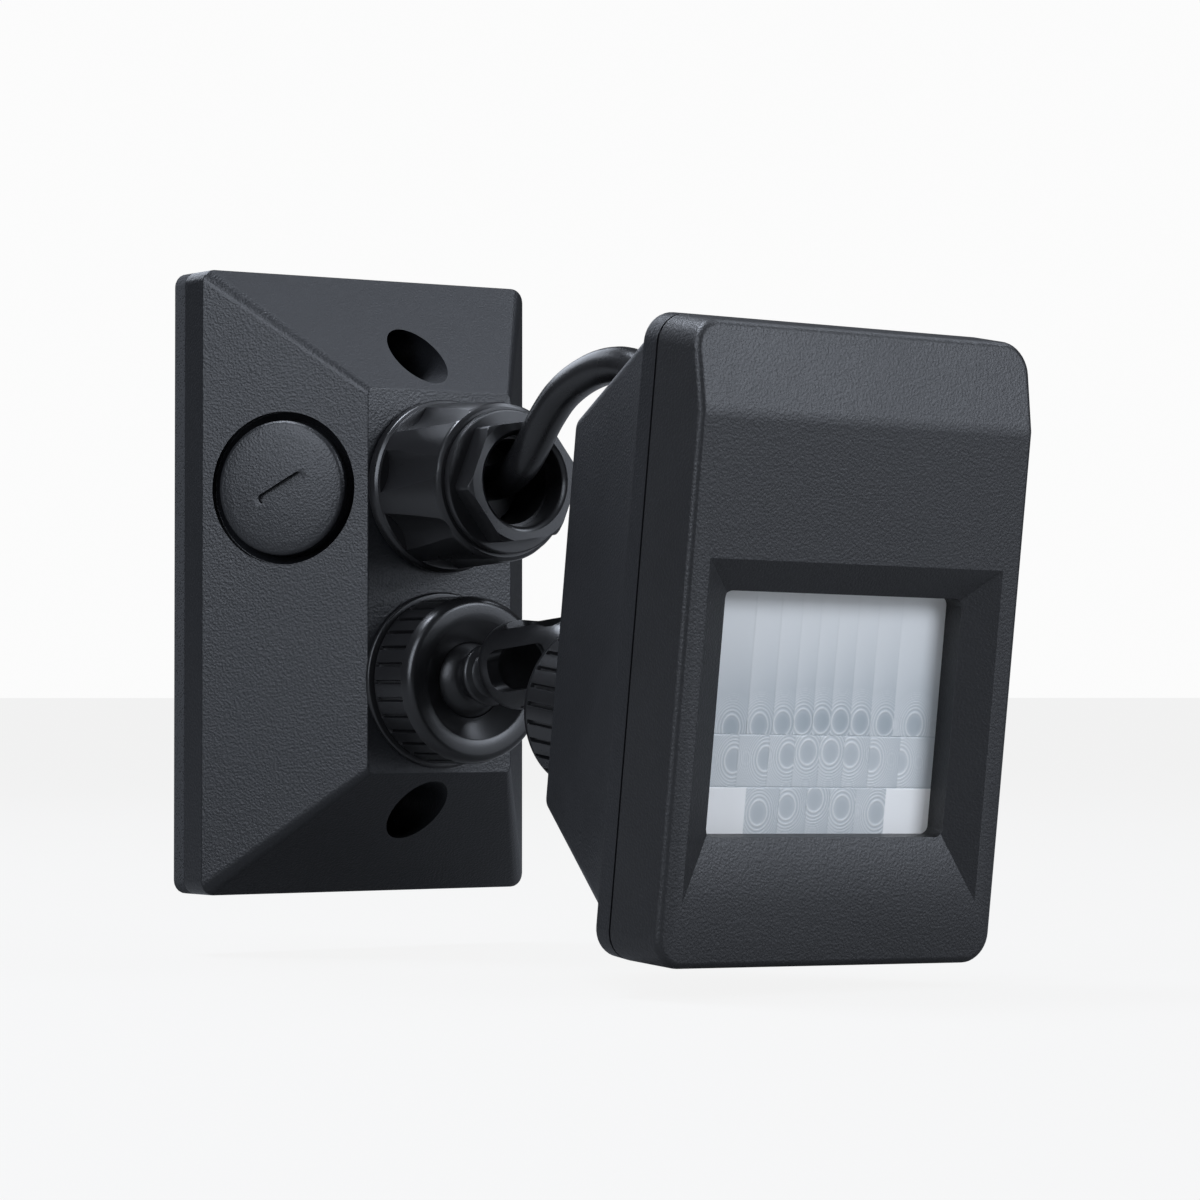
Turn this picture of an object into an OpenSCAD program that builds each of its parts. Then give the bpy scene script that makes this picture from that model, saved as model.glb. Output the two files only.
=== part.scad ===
// Outdoor passive infrared motion sensor on a single-gang weatherproof cover.
// Frame: X to the right, -Y out from the wall, +Z up.
// Origin: centre of the gasket's back face, in the wall plane.

/* [Cover] */
// Width of the wall cover
plate_w = 70; // [66:0.5:76]
// Height of the wall cover
plate_h = 114.3; // [110:0.1:120]
// Thickness of the foam gasket
gasket_t = 4; // [2:0.5:5]
// Height of the cover's straight rim
rim_t = 6.6; // [5:0.1:9]
// Height of the four slopes above the rim
slope_t = 25.8; // [22:0.1:28]
// Width of the cover's raised face
face_w = 30.8; // [29:0.1:33]
// Height of the cover's raised face
face_h = 69.7; // [68:0.1:74]
// Wall of the cover
cover_wall = 2.8; // [2:0.1:3.2]
// Distance between the two cover screws
screw_pitch = 83.3; // [83.3]
// Diameter of the clearance holes for the cover screws
screw_hole_d = 4.2; // [3.8:0.1:4.8]
// Diameter of the deep wells that hide the screw heads
screw_well_d = 10.7; // [9:0.1:11.5]

/* [Outlets] */
// Height of the cable gland's axis above the centre
gland_z = 17.3; // [17:0.1:18]
// Height of the arm's axis below the centre
arm_drop = 17.9; // [17.5:0.1:18.5]
// Diameter of the lead
lead_d = 6.5; // [5:0.1:7]
// Flutes round the coupling nut
flutes = 8; // [6:1:10]
// Ridges round each locking collar
collar_ridges = 30; // [24:1:36]

/* [Arm] */
// Radius of the two balls
ball_r = 8.2; // [8:0.1:8.4]
// Rise of the arm out of the wall collar, in degrees
arm_rise = 4.6; // [0:0.1:8]
// Roll of the arm's four windows about its own axis, in degrees
arm_roll = -12; // [-30:1:30]

/* [Head] */
// Nod of the head below the horizontal, in degrees
head_nod = 6.7; // [3:0.1:12]
// Turn of the head about its own axis, in degrees
head_turn = 1; // [-5:0.5:5]
// Width of the head
head_w = 68; // [66:0.5:70]
// Height of the head at its joint line
head_h = 102.4; // [100:0.2:104]
// Corner radius of the head
head_corner = 5; // [4:0.5:8]
// Depth of the front bezel
bezel_d = 12.2; // [11:0.1:14]
// Depth from the front face to the back of the rear housing
head_d = 58.3; // [56:0.1:60]

/* [Hidden] */

$fn = 48;
plastic = [0.13, 0.13, 0.14];
dark_plastic = [0.09, 0.09, 0.10];
rubber = [0.06, 0.06, 0.06];
brass = [0.76, 0.62, 0.32];
fit = 0.05;
gap = 0.3;
eps = 0.01;

// Cover
rim_front = gasket_t + rim_t;
face_y = rim_front + slope_t;
cover_corner = 2.5;
well_floor = 7.6;
slope_run = (plate_w - face_w) / 2;
slope_len = sqrt(slope_run * slope_run + slope_t * slope_t);
slope_turn = atan2(-slope_run, -slope_t);
plug_up = 15.9;
plug_z = 16.9;
plug_r = 12.2;
plug_pocket_r = 13.9;
plug_thread_r = 10.3;

// Gland, measured out from the cover's face
coupling_front = 21.4;
washer_front = 23.2;
gland_front = 28;
gland_tube_r = 10.2;
gland_bore_r = 7.6;
nut_bore_r = 8.2;

// Ball joints, measured out from each hub's face
ball_out = 5.5;
seat_r = 9.6;
seat_back = 1;
seat_front = 8.2;
hub_neck_r = 11.6;
locknut_seat = cover_wall + fit;
hub_neck_front = 8.4;
collar_r = 15.1;
collar_back = 1.3;
collar_front = 13;
lip_out = 10.4;
lip_r = 6.8;
dish_r = 10.6;
neck_r = 4.1;

// Arm, measured from the wall ball along its own axis
cage_back = 18.6;
cage_tip = 43;
cage_r = 7.9;
cage_lift = 0.9;
window_w = 7.6;
head_ball_out = 50.3;
head_ball_drop = 9.4;
neck_from = [-39, -2.3];
neck_run = norm([head_ball_out, head_ball_drop] + neck_from);
neck_slope = atan2(head_ball_drop + neck_from[1], head_ball_out + neck_from[0]);
stub_len = 9;

wall_ball_y = -face_y - ball_out;
head_ball_y = wall_ball_y - head_ball_out * cos(arm_rise) - head_ball_drop * sin(arm_rise);
head_ball_z = -arm_drop + head_ball_out * sin(arm_rise) - head_ball_drop * cos(arm_rise);

// Head, measured from the middle of its front face: +Y back, +Z up
hub_z = -18.7;
hub_depth = head_d + ball_out;
head_top = 49.6;
head_mid = head_top - head_h / 2;
draft = 0.6;
edge_r = 1.5;
brow_z = 35;
brow_back = 3.5;
seam = 0.4;
flange_t = 4;
flange_back = bezel_d + seam + flange_t;
body_half_w = 31.3;
body_top = 46.5;
body_bottom = -47;
body_straight = 20;
body_corner = 3.4;
back_half_w = 16.9;
back_top = 31.2;
back_bottom = -35.3;
housing_wall = 2.4;
hopper_half_w = 29.4;
hopper_top = 12.2;
hopper_bottom = -41.9;
window_half_w = 23.8;
window_top = 7.1;
window_bottom = -31.8;
window_back = 2.9;
lens_y = 6.9;
lens_t = 1;
lens_mid = (window_top + window_bottom) / 2;
board_y = 26;
board_t = 1.6;
screw_x = 15;
screw_top = 42;
screw_bottom = -43;
screw_seat = 18.4;
dial_x = 9;
dial_y = 44;
dial_r = 4.2;
bottom_slope = atan2(back_bottom - body_bottom, head_d - body_straight);

// The lead's route in the plane X = 0: [y, z]
lead_route = [
    [-27, 17.3], [-33, 17.3], [-39, 17.3], [-45, 17.3], [-51, 17.3], [-55, 17.4],
    [-58.5, 18.1], [-61.5, 19.3], [-64.4, 21.1], [-67.3, 23.9], [-70.6, 27.5], [-74.5, 30.8], [-78, 32.8],
    [-81.6, 34.2], [-85.3, 35.2], [-89, 35.8], [-93, 35.9], [-96.5, 35.5], [-100, 34.5],
    [-104, 32.6], [-107, 30.6], [-110, 28.6], [-113, 26.6], [-116, 24.6], [-118.5, 22.93]
];
grommet_at = [0, -110, 28.6];
grommet_slope = atan2(2, 3);

// Common shapes

module rounded(w, h, r) {
    square([w - 2 * r, h], center = true);
    square([w, h - 2 * r], center = true);
    for (x = [-1, 1], z = [-1, 1])
        translate([x * (w / 2 - r), z * (h / 2 - r)]) circle(r);
}

// A flat outline in X and Z, thickened from y0 to y1
module slab(y0, y1) {
    translate([0, y1, 0]) rotate([90, 0, 0]) linear_extrude(y1 - y0) children();
}

// A profile of [radius, distance out] spun about an axis that points to -Y
module spun() {
    rotate([90, 0, 0]) rotate_extrude($fn = 96) children();
}

// A rod along -Y between two distances out
module rod(r, out0, out1) {
    translate([0, -out0, 0]) rotate([90, 0, 0]) cylinder(r = r, h = out1 - out0);
}

module at_gland() {
    translate([0, -face_y, gland_z]) children();
}

module at_arm_hub() {
    translate([0, -face_y, -arm_drop]) children();
}

module in_arm() {
    translate([0, wall_ball_y, -arm_drop]) rotate([-arm_rise, 0, 0]) children();
}

module in_head() {
    translate([0, head_ball_y, head_ball_z]) rotate([head_nod, 0, 0]) rotate([0, head_turn, 0])
        translate([0, -hub_depth, -hub_z]) children();
}

module at_head_hub() {
    translate([0, head_d, hub_z]) rotate([0, 0, 180]) children();
}

module on_plug_slope() {
    translate([-plate_w / 2 + slope_run * plug_up / slope_len,
               -rim_front - slope_t * plug_up / slope_len, plug_z])
        rotate([0, 90, slope_turn]) children();
}

module at_screws() {
    for (z = [-1, 1]) translate([0, 0, z * screw_pitch / 2]) children();
}

// Wall cover

module gasket() {
    color([0.16, 0.16, 0.16]) difference() {
        slab(-gasket_t, 0) rounded(plate_w, plate_h, cover_corner);
        slab(-gasket_t - 1, 1) rounded(52, 66, 4);
        at_screws() rod(screw_hole_d / 2, -1, gasket_t + 1);
    }
}

module cover_form(inset) {
    hull() {
        slab(-rim_front + inset * 0.4, -gasket_t)
            rounded(plate_w - 2 * inset, plate_h - 2 * inset, max(cover_corner - inset, 0.8), $fn = 32);
        slab(-face_y + inset, -face_y + inset + eps)
            rounded(face_w - 1.2 * inset, face_h - 1.2 * inset, 0.8, $fn = 32);
    }
}

module cover_plate() {
    color(plastic) difference() {
        union() {
            difference() {
                cover_form(0);
                translate([0, eps, 0]) cover_form(cover_wall);
            }
            intersection() {
                cover_form(0);
                union() {
                    at_screws() rod(screw_well_d / 2 + 1.8, gasket_t, face_y);
                    on_plug_slope() translate([0, 0, -4]) cylinder(r = plug_pocket_r + 1, h = 5);
                }
            }
        }
        at_screws() {
            rod(screw_well_d / 2, well_floor, face_y + 1);
            rod(screw_hole_d / 2, 0, well_floor + 1);
        }
        on_plug_slope() {
            translate([0, 0, -1.6]) cylinder(r = plug_pocket_r, h = 6);
            translate([0, 0, -14]) cylinder(r = plug_thread_r + fit, h = 14);
        }
        at_gland() rod(gland_tube_r + fit, -12, 1);
        at_arm_hub() rod(gland_tube_r + fit, -12, 1);
    }
}

module closure_plug() {
    color(plastic) on_plug_slope() difference() {
        rotate_extrude($fn = 96) polygon([
            [0, -8], [plug_thread_r, -8], [plug_thread_r, -0.9], [plug_r, -0.9],
            [plug_r, 0.5], [plug_r - 0.7, 1.1], [6, 1.5], [0, 1.6]]);
        rotate([0, 0, 60]) translate([-4.7, -0.9, 0.5]) cube([9.4, 1.8, 3]);
        translate([0, 0, -9]) cylinder(r = 7.5, h = 7);
    }
}

module plug_seal() {
    color(rubber) on_plug_slope() translate([0, 0, -1.6]) difference() {
        cylinder(r = plug_r - 0.4, h = 0.7);
        translate([0, 0, -1]) cylinder(r = plug_thread_r + fit, h = 3);
    }
}

module gland_body() {
    color(plastic) at_gland() difference() {
        union() {
            rod(gland_tube_r, -9, coupling_front);
            rod(13.2, 0, 1.6);
        }
        rod(gland_bore_r, -10, coupling_front + 1);
    }
}

module locknut() {
    difference() {
        union() {
            rod(12.2, -locknut_seat - 3.6, -locknut_seat);
            for (a = [30:60:330]) rotate([0, a, 0])
                translate([11.8, locknut_seat, -1.8]) cube([1.2, 3.6, 3.6]);
        }
        rod(gland_tube_r + fit, -cover_wall - 5, 1);
    }
}

module gland_locknut() {
    color([0.62, 0.63, 0.64]) at_gland() locknut();
}

module coupling_nut() {
    color(plastic) at_gland() difference() {
        spun() polygon([
            [gland_tube_r + fit, 1.6], [13.3, 1.6], [13.3, 0.2], [15.2, 0.2], [15.7, 0.7],
            [15.7, 2.2], [15.1, 2.9], [14.3, coupling_front - 0.9], [13.4, coupling_front],
            [gland_tube_r + fit, coupling_front]]);
        for (i = [0:flutes - 1]) rotate([0, i * 360 / flutes + 9, 0])
            translate([0, -3.4, 21.1]) rotate([88, 0, 0]) cylinder(r = 7.7, h = 24);
    }
}

module gland_washer() {
    color(dark_plastic) at_gland() spun() polygon([
        [gland_bore_r, coupling_front], [12.5, coupling_front], [12.9, coupling_front + 0.4],
        [12.9, washer_front - 0.4], [12.5, washer_front], [gland_bore_r, washer_front]]);
}

module gland_nut() {
    color(plastic) at_gland() difference() {
        intersection() {
            rotate([90, 0, 0]) rotate([0, 0, 8]) translate([0, 0, washer_front])
                cylinder(r = 11.9, h = gland_front - washer_front, $fn = 6);
            spun() polygon([[0, washer_front], [12.2, washer_front], [12.2, gland_front - 0.8],
                            [11, gland_front], [0, gland_front]]);
        }
        spun() polygon([[0, washer_front - 1], [nut_bore_r, washer_front - 1],
                        [nut_bore_r, gland_front - 0.7], [nut_bore_r + 0.8, gland_front + 0.1],
                        [0, gland_front + 0.1]]);
    }
}

module gland_seal() {
    color(rubber) at_gland() difference() {
        rod(gland_bore_r - fit, 2, 14);
        rod(lead_d / 2 + fit, 1, 15);
    }
}

// The lead

function route_dir(pts, i) =
    let (a = pts[max(i - 1, 0)], b = pts[min(i + 1, len(pts) - 1)], d = b - a) d / norm(d);

// A round bar that follows points in the plane X = 0
module swept(pts, r, sides) {
    n = len(pts);
    rings = [for (i = [0:n - 1], k = [0:sides - 1])
        let (d = route_dir(pts, i), a = 360 * k / sides)
        [r * cos(a), pts[i][0] - r * sin(a) * d[1], pts[i][1] + r * sin(a) * d[0]]];
    sides_faces = [for (i = [0:n - 2], k = [0:sides - 1])
        let (k2 = (k + 1) % sides)
        [i * sides + k, i * sides + k2, (i + 1) * sides + k2, (i + 1) * sides + k]];
    caps = [[for (k = [sides - 1:-1:0]) k], [for (k = [0:sides - 1]) (n - 1) * sides + k]];
    polyhedron(rings, concat(sides_faces, caps));
}

module lead_cable() {
    color(rubber) swept(lead_route, lead_d / 2 - fit, 12);
}

module terminal_block() {
    color([0.85, 0.84, 0.8]) translate([-9, -14, -6]) difference() {
        cube([18, 9, 11]);
        for (x = [3, 9, 15]) {
            translate([x, 4.5, 5]) cylinder(r = 1.2, h = 10);
            translate([x, -1, 5.5]) rotate([-90, 0, 0]) cylinder(r = 1.5, h = 5);
        }
    }
}

module cover_leads() {
    for (i = [-1:1])
        color([[0.1, 0.1, 0.1], [0.9, 0.9, 0.9], [0.7, 0.12, 0.1]][i + 1])
            translate([i * 2, -26.3, gland_z]) rod_to([i * 4, 16.8, -11.4], 0.8);
}

// Arm hub and locking collars, drawn out from a hub's face

module hub_form() {
    spun() polygon([
        [0, -5.2], [gland_tube_r, -5.2], [gland_tube_r, 0], [16, 0], [16, 0.8], [15.6, 1.1],
        [hub_neck_r, 1.1], [hub_neck_r, hub_neck_front - 0.5], [hub_neck_r - 0.5, hub_neck_front],
        [seat_r + fit, hub_neck_front], [seat_r + fit, 0.9], [7.4, 0.9], [7.4, -3.2], [0, -3.2]]);
}

module collar_form() {
    difference() {
        spun() polygon([
            [hub_neck_r + fit, collar_back], [collar_r - 0.5, collar_back], [collar_r, collar_back + 0.5],
            [collar_r, collar_front - 2.2], [collar_r - 0.4, collar_front - 1],
            [collar_r - 1.2, collar_front], [dish_r, collar_front], [lip_r, lip_out], [lip_r, lip_out - 1],
            [hub_neck_r + fit, hub_neck_front + gap]]);
        translate([0, -ball_out, 0]) sphere(ball_r + 0.1, $fn = 96);
        for (i = [0:collar_ridges - 1]) rotate([0, i * 360 / collar_ridges, 0])
            translate([collar_r + 0.15, -collar_back + 1, 0]) rotate([0, 45, 0])
                translate([-0.5, -collar_front + collar_back + 1.4, -0.5])
                    cube([1, collar_front - collar_back - 2.6, 1]);
    }
}

// The socket's round wall is drawn as ten narrow bands
module seat_form() {
    from = asin((seat_front - ball_out) / (ball_r + fit));
    to = asin((seat_back - ball_out) / (ball_r + fit));
    spun() polygon(concat([[seat_r, seat_back], [seat_r, seat_front]],
        [for (i = [0:10]) let (a = from + (to - from) * i / 10)
            [(ball_r + fit) * cos(a), ball_out + (ball_r + fit) * sin(a)]]));
}

module arm_hub() {
    color(plastic) at_arm_hub() difference() {
        hub_form();
        translate([0, -ball_out, 0]) sphere(ball_r + 0.15, $fn = 96);
    }
}

module arm_hub_locknut() {
    color([0.62, 0.63, 0.64]) at_arm_hub() difference() {
        rod(12.4, -locknut_seat - 3, -locknut_seat);
        rod(gland_tube_r + fit, -cover_wall - 5, 1);
    }
}

module wall_collar() {
    color(plastic) at_arm_hub() collar_form();
}

module wall_ball_seat() {
    color([0.2, 0.2, 0.2]) at_arm_hub() seat_form();
}

// Arm

module wall_ball() {
    color(plastic) in_arm() {
        sphere(ball_r, $fn = 96);
        rod(neck_r, 0, 10.2);
    }
}

module arm_cage() {
    color(dark_plastic) in_arm() difference() {
        union() {
            spun() polygon([
                [0, 10.2], [5.4, 10.2], [5.6, 10.8], [5.4, 11.6], [4, 12.2], [3.7, 15],
                [4, cage_back + 1], [0, cage_back + 1]]);
            translate([0, 0, cage_lift]) spun() polygon([
                [0, cage_back - 1.4], [5, cage_back - 1.2], [7, cage_back], [cage_r, cage_back + 1.6],
                [cage_r, 33], [7.4, 36.5], [6.2, 40.5], [4.4, cage_tip], [0, cage_tip]]);
            translate([0, neck_from[0], neck_from[1]]) rotate([90 + neck_slope, 0, 0])
                cylinder(r = 3.7, h = neck_run - stub_len);
        }
        translate([0, 0, cage_lift]) {
            spun() polygon([[0, 21.4], [5.2, 21.4], [5.8, 24], [5.8, 33], [5.2, 36.5], [4.4, 38], [0, 38]]);
            for (a = [90:90:270]) rotate([0, a + arm_roll, 0])
                translate([2, -39, -window_w / 2]) cube([10, 16.6, window_w]);
        }
    }
}

module head_ball() {
    color(plastic) in_arm() translate([0, -head_ball_out, -head_ball_drop]) {
        sphere(ball_r, $fn = 96);
        rotate([neck_slope - 90, 0, 0]) cylinder(r = 3.6, h = stub_len);
    }
}

module head_ball_seat() {
    color([0.2, 0.2, 0.2]) in_head() at_head_hub() seat_form();
}

module head_collar() {
    color(plastic) in_head() at_head_hub() collar_form();
}

// Sensor head

module head_outline(inset) {
    translate([0, head_mid])
        rounded(head_w - 2 * inset, head_h - 2 * inset, head_corner - inset, $fn = 32);
}

module body_form(inset) {
    hull() {
        slab(bezel_d + seam, body_straight) translate([0, (body_top + body_bottom) / 2])
            rounded(2 * (body_half_w - inset), body_top - body_bottom - 2 * inset,
                    body_corner - inset, $fn = 32);
        slab(head_d - inset - eps, head_d - inset) translate([0, (back_top + back_bottom) / 2])
            rounded(2 * (back_half_w - inset * 0.9), back_top - back_bottom - 2 * inset,
                    3.2 - inset * 0.7, $fn = 32);
    }
}

module at_housing_screws() {
    for (x = [-screw_x, screw_x], z = [screw_top, screw_bottom]) translate([x, 0, z]) children();
}

// Frame square to the lower slope of the rear housing, +Z out of it
module at_dial(x) {
    translate([x, dial_y, back_bottom - (head_d - dial_y) * tan(bottom_slope)])
        rotate([180 - bottom_slope, 0, 0]) children();
}

module grommet_hole() {
    translate(grommet_at) rotate([90 + grommet_slope, 0, 0])
        translate([0, 0, -20]) cylinder(r = 5, h = 40);
}

module rear_housing() {
    color(plastic) difference() {
        in_head() difference() {
            union() {
                difference() {
                    union() {
                        slab(bezel_d + seam, flange_back) head_outline(0);
                        body_form(0);
                    }
                    translate([0, -eps, 0]) body_form(housing_wall);
                }
                at_head_hub() hub_form();
                intersection() {
                    body_form(0);
                    union() {
                        at_housing_screws() rod(5, -head_d, -bezel_d - seam);
                        for (x = [-dial_x, dial_x]) at_dial(x)
                            translate([0, 0, -5]) cylinder(r = dial_r + 1.8, h = 8);
                    }
                }
            }
            at_head_hub() translate([0, -ball_out, 0]) sphere(ball_r + 0.15, $fn = 96);
            at_housing_screws() {
                rod(3.2, -head_d, -screw_seat);
                rod(1.7, -head_d, -bezel_d);
            }
            for (x = [-dial_x, dial_x]) at_dial(x) {
                translate([0, 0, -2.4]) cylinder(r = dial_r + gap, h = 8);
                translate([0, 0, -9]) cylinder(r = 1.3, h = 9);
            }
        }
        grommet_hole();
    }
}

module housing_seal() {
    color(rubber) in_head() difference() {
        slab(bezel_d - 1, bezel_d + seam) head_outline(1.1);
        slab(bezel_d - 2, bezel_d + 2) head_outline(2.1);
    }
}

module brow_cut(shift) {
    translate([-50, shift, brow_z]) rotate([-atan2(brow_back, head_top - brow_z), 0, 0])
        translate([0, -20, -eps]) cube([100, 20, 40]);
}

module bezel_form(inset) {
    difference() {
        hull() {
            slab(bezel_d - eps, bezel_d) head_outline(inset);
            slab(edge_r + inset, edge_r + inset + eps) head_outline(draft + inset);
            slab(inset, inset + eps) head_outline(draft + edge_r + inset);
        }
        brow_cut(inset);
    }
}

module window_outline(grow) {
    translate([0, lens_mid])
        rounded(2 * (window_half_w + grow), window_top - window_bottom + 2 * grow, 1.4 + grow, $fn = 32);
}

module hopper_outline(grow) {
    translate([0, (hopper_top + hopper_bottom) / 2])
        rounded(2 * (hopper_half_w + grow), hopper_top - hopper_bottom + 2 * grow, 0.8 + grow, $fn = 32);
}

module front_bezel() {
    color(plastic) in_head() difference() {
        union() {
            difference() {
                bezel_form(0);
                translate([0, eps, 0]) bezel_form(2.4);
            }
            slab(1, 4.6) hopper_outline(1);
            slab(4, lens_y) window_outline(2);
            intersection() {
                bezel_form(0);
                at_housing_screws() rod(3.6, -bezel_d, 0);
            }
        }
        hull() {
            slab(window_back - eps, window_back) window_outline(0);
            slab(-eps, 0) hopper_outline(0);
        }
        slab(-2, lens_y + 3) window_outline(0);
        slab(bezel_d - 1, bezel_d + 1) difference() {
            head_outline(1.05);
            head_outline(2.15);
        }
        at_housing_screws() rod(1.45, -bezel_d - 1, -5.5);
    }
}

module fresnel_lens() {
    color([0.86, 0.88, 0.9]) in_head() slab(lens_y, lens_y + lens_t) window_outline(1.6);
}

module lens_frame() {
    color(dark_plastic) in_head() difference() {
        slab(lens_y + lens_t, lens_y + lens_t + 2.4) window_outline(2);
        slab(lens_y, lens_y + 6) window_outline(-1);
    }
}

// Electronics

module circuit_board() {
    color([0.1, 0.36, 0.2]) in_head() difference() {
        slab(board_y, board_y + board_t) rounded(46, 72, 2);
        for (x = [-19, 19], z = [-32, 32]) translate([x, 0, z]) rod(1.6, -40, -20);
    }
    color(plastic) in_head() for (x = [-19, 19], z = [-32, 32])
        translate([x, 0, z]) rod(1.5, -board_y - 5, -lens_y - 6);
}

module pyro_sensor() {
    color([0.78, 0.76, 0.7]) in_head() translate([0, 0, lens_mid]) {
        rod(4.6, -board_y, -board_y + 3.6);
        rod(5, -board_y, -board_y + 0.5);
    }
}

module light_sensor() {
    color([0.85, 0.4, 0.25]) in_head() translate([12, 0, lens_mid - 8]) rod(2.4, -board_y, -board_y + 2.2);
}

module indicator_led() {
    color([0.8, 0.1, 0.1]) in_head() translate([-12, -1.5, lens_mid - 8]) {
        rod(1.5, -board_y - 1.5, -board_y + 1.5);
        translate([0, board_y - 1.5, 0]) sphere(1.5);
    }
}

module relay() {
    color([0.16, 0.3, 0.55]) in_head() translate([-19, board_y + board_t, 6]) cube([19, 15, 15.5]);
}

module mains_capacitor() {
    color([0.65, 0.2, 0.12]) in_head() translate([-18, board_y + board_t, -12]) cube([18, 9, 13]);
}

module lead_header() {
    color([0.85, 0.84, 0.8]) in_head() translate([7, board_y + board_t, 10]) difference() {
        cube([12, 10, 8]);
        for (x = [2, 6, 10]) translate([x, 5, 4]) cylinder(r = 1.1, h = 10);
    }
}

module board_leads() {
    for (i = [-1:1]) color([[0.1, 0.1, 0.1], [0.9, 0.9, 0.9], [0.7, 0.12, 0.1]][i + 1])
        in_head() translate([13 + i * 4, board_y + board_t + 5, 18.6])
            rod_to([-13.85 - i * 2.3, 10.1, 11.1], 0.8);
}

// A wire from the origin to a point
module rod_to(p, r) {
    rotate([0, acos(p[2] / norm(p)), atan2(p[1], p[0])]) cylinder(r = r, h = norm(p));
}

module dial_shafts() {
    color([0.3, 0.3, 0.32]) in_head() for (x = [-dial_x, dial_x]) at_dial(x)
        translate([0, 0, -13.2]) difference() {
            cylinder(r = 3, h = 7.8);
            translate([0, 0, 4]) cylinder(r = 1.25, h = 10);
        }
}

module housing_screws() {
    color([0.7, 0.7, 0.7]) in_head() at_housing_screws() difference() {
        union() {
            rod(2.8, -screw_seat - 2, -screw_seat);
            rod(1.4, -screw_seat, -6);
        }
        translate([-2, screw_seat + 1, -0.4]) cube([4, 3, 0.8]);
        translate([-0.4, screw_seat + 1, -2]) cube([0.8, 3, 4]);
    }
}

module cable_grommet() {
    color(rubber) translate(grommet_at) rotate([90 + grommet_slope, 0, 0]) difference() {
        rotate_extrude($fn = 64) polygon([
            [0, -8], [4, -8], [4.9, -2.2], [4.9, 6], [0, 6]]);
        translate([0, 0, -9]) cylinder(r = lead_d / 2 + fit, h = 16);
    }
}

module dial_form() {
    difference() {
        union() {
            translate([0, 0, -2.2]) cylinder(r = dial_r, h = 2.4);
            translate([0, 0, -8]) cylinder(r = 1.2, h = 6);
        }
        translate([-3, -0.5, -0.7]) cube([6, 1, 2]);
    }
}

module time_dial() {
    color([0.75, 0.75, 0.75]) in_head() at_dial(-dial_x) dial_form();
}

module light_dial() {
    color([0.75, 0.75, 0.75]) in_head() at_dial(dial_x) dial_form();
}

gasket();
cover_plate();
closure_plug();
plug_seal();
gland_body();
gland_locknut();
coupling_nut();
gland_washer();
gland_nut();
gland_seal();
lead_cable();
terminal_block();
cover_leads();
arm_hub();
arm_hub_locknut();
wall_collar();
wall_ball_seat();
wall_ball();
arm_cage();
head_ball();
head_ball_seat();
head_collar();
rear_housing();
housing_seal();
front_bezel();
fresnel_lens();
lens_frame();
circuit_board();
pyro_sensor();
light_sensor();
indicator_led();
relay();
mains_capacitor();
lead_header();
board_leads();
dial_shafts();
housing_screws();
cable_grommet();
time_dial();
light_dial();
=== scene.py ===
from math import asin, atan2, cos, degrees, hypot, pi, radians, sin

import bmesh
import bpy
from mathutils import Matrix, Vector


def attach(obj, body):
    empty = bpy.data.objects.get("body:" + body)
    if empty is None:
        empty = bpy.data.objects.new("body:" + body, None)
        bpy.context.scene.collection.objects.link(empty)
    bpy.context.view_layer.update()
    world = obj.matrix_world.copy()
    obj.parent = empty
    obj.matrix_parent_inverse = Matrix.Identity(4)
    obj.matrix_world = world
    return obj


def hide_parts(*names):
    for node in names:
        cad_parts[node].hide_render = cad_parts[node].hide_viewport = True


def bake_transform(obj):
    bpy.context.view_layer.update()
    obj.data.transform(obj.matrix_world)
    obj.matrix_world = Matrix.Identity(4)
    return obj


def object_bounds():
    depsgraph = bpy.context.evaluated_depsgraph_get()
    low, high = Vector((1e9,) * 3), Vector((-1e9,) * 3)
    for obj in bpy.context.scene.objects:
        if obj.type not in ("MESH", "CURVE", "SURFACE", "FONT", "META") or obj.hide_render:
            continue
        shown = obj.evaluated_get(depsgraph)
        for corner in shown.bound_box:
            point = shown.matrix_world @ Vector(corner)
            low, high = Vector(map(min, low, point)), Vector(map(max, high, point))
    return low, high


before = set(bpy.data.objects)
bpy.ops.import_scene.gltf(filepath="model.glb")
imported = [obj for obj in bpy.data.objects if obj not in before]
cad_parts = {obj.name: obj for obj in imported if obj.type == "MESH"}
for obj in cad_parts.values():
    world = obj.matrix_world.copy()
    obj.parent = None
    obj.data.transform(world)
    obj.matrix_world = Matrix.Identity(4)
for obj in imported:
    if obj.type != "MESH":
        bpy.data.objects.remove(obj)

cad_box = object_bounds()

# Sizes in millimetres: X to the right, -Y out from the wall, +Z up
PLATE_W, PLATE_H, PLATE_CORNER = 70, 114.3, 2.5
GASKET_T, RIM_FRONT, FACE_Y = 4, 10.6, 36.4
FACE_W, FACE_H = 30.8, 69.7
COVER_WALL = 2.8
SCREW_Z, WELL_R, WELL_FLOOR, SCREW_HOLE_R = 41.65, 5.35, 7.6, 2.1
GLAND_Z, ARM_Z = 17.3, -17.9
SLOPE_RUN, SLOPE_T = (PLATE_W - FACE_W) / 2, FACE_Y - RIM_FRONT
SLOPE_LEN = hypot(SLOPE_RUN, SLOPE_T)
PLUG_UP, PLUG_Z, PLUG_R, POCKET_R, PLUG_TUBE_R = 15.9, 16.9, 12.2, 13.9, 10.3
TUBE_R, BORE_R, LEAD_R = 10.2, 7.6, 3.2
COUPLING_FRONT, WASHER_FRONT, GLAND_FRONT = 21.4, 23.2, 28
BALL_R, BALL_OUT = 8.2, 5.5
HEAD_NOD, HEAD_TURN = radians(6.7), radians(1)
HEAD_BALL = Vector((0, -92.792, -23.236))
WALL_BALL = Vector((0, -FACE_Y - BALL_OUT, ARM_Z))
ARM_RISE = radians(4.6)
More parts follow.
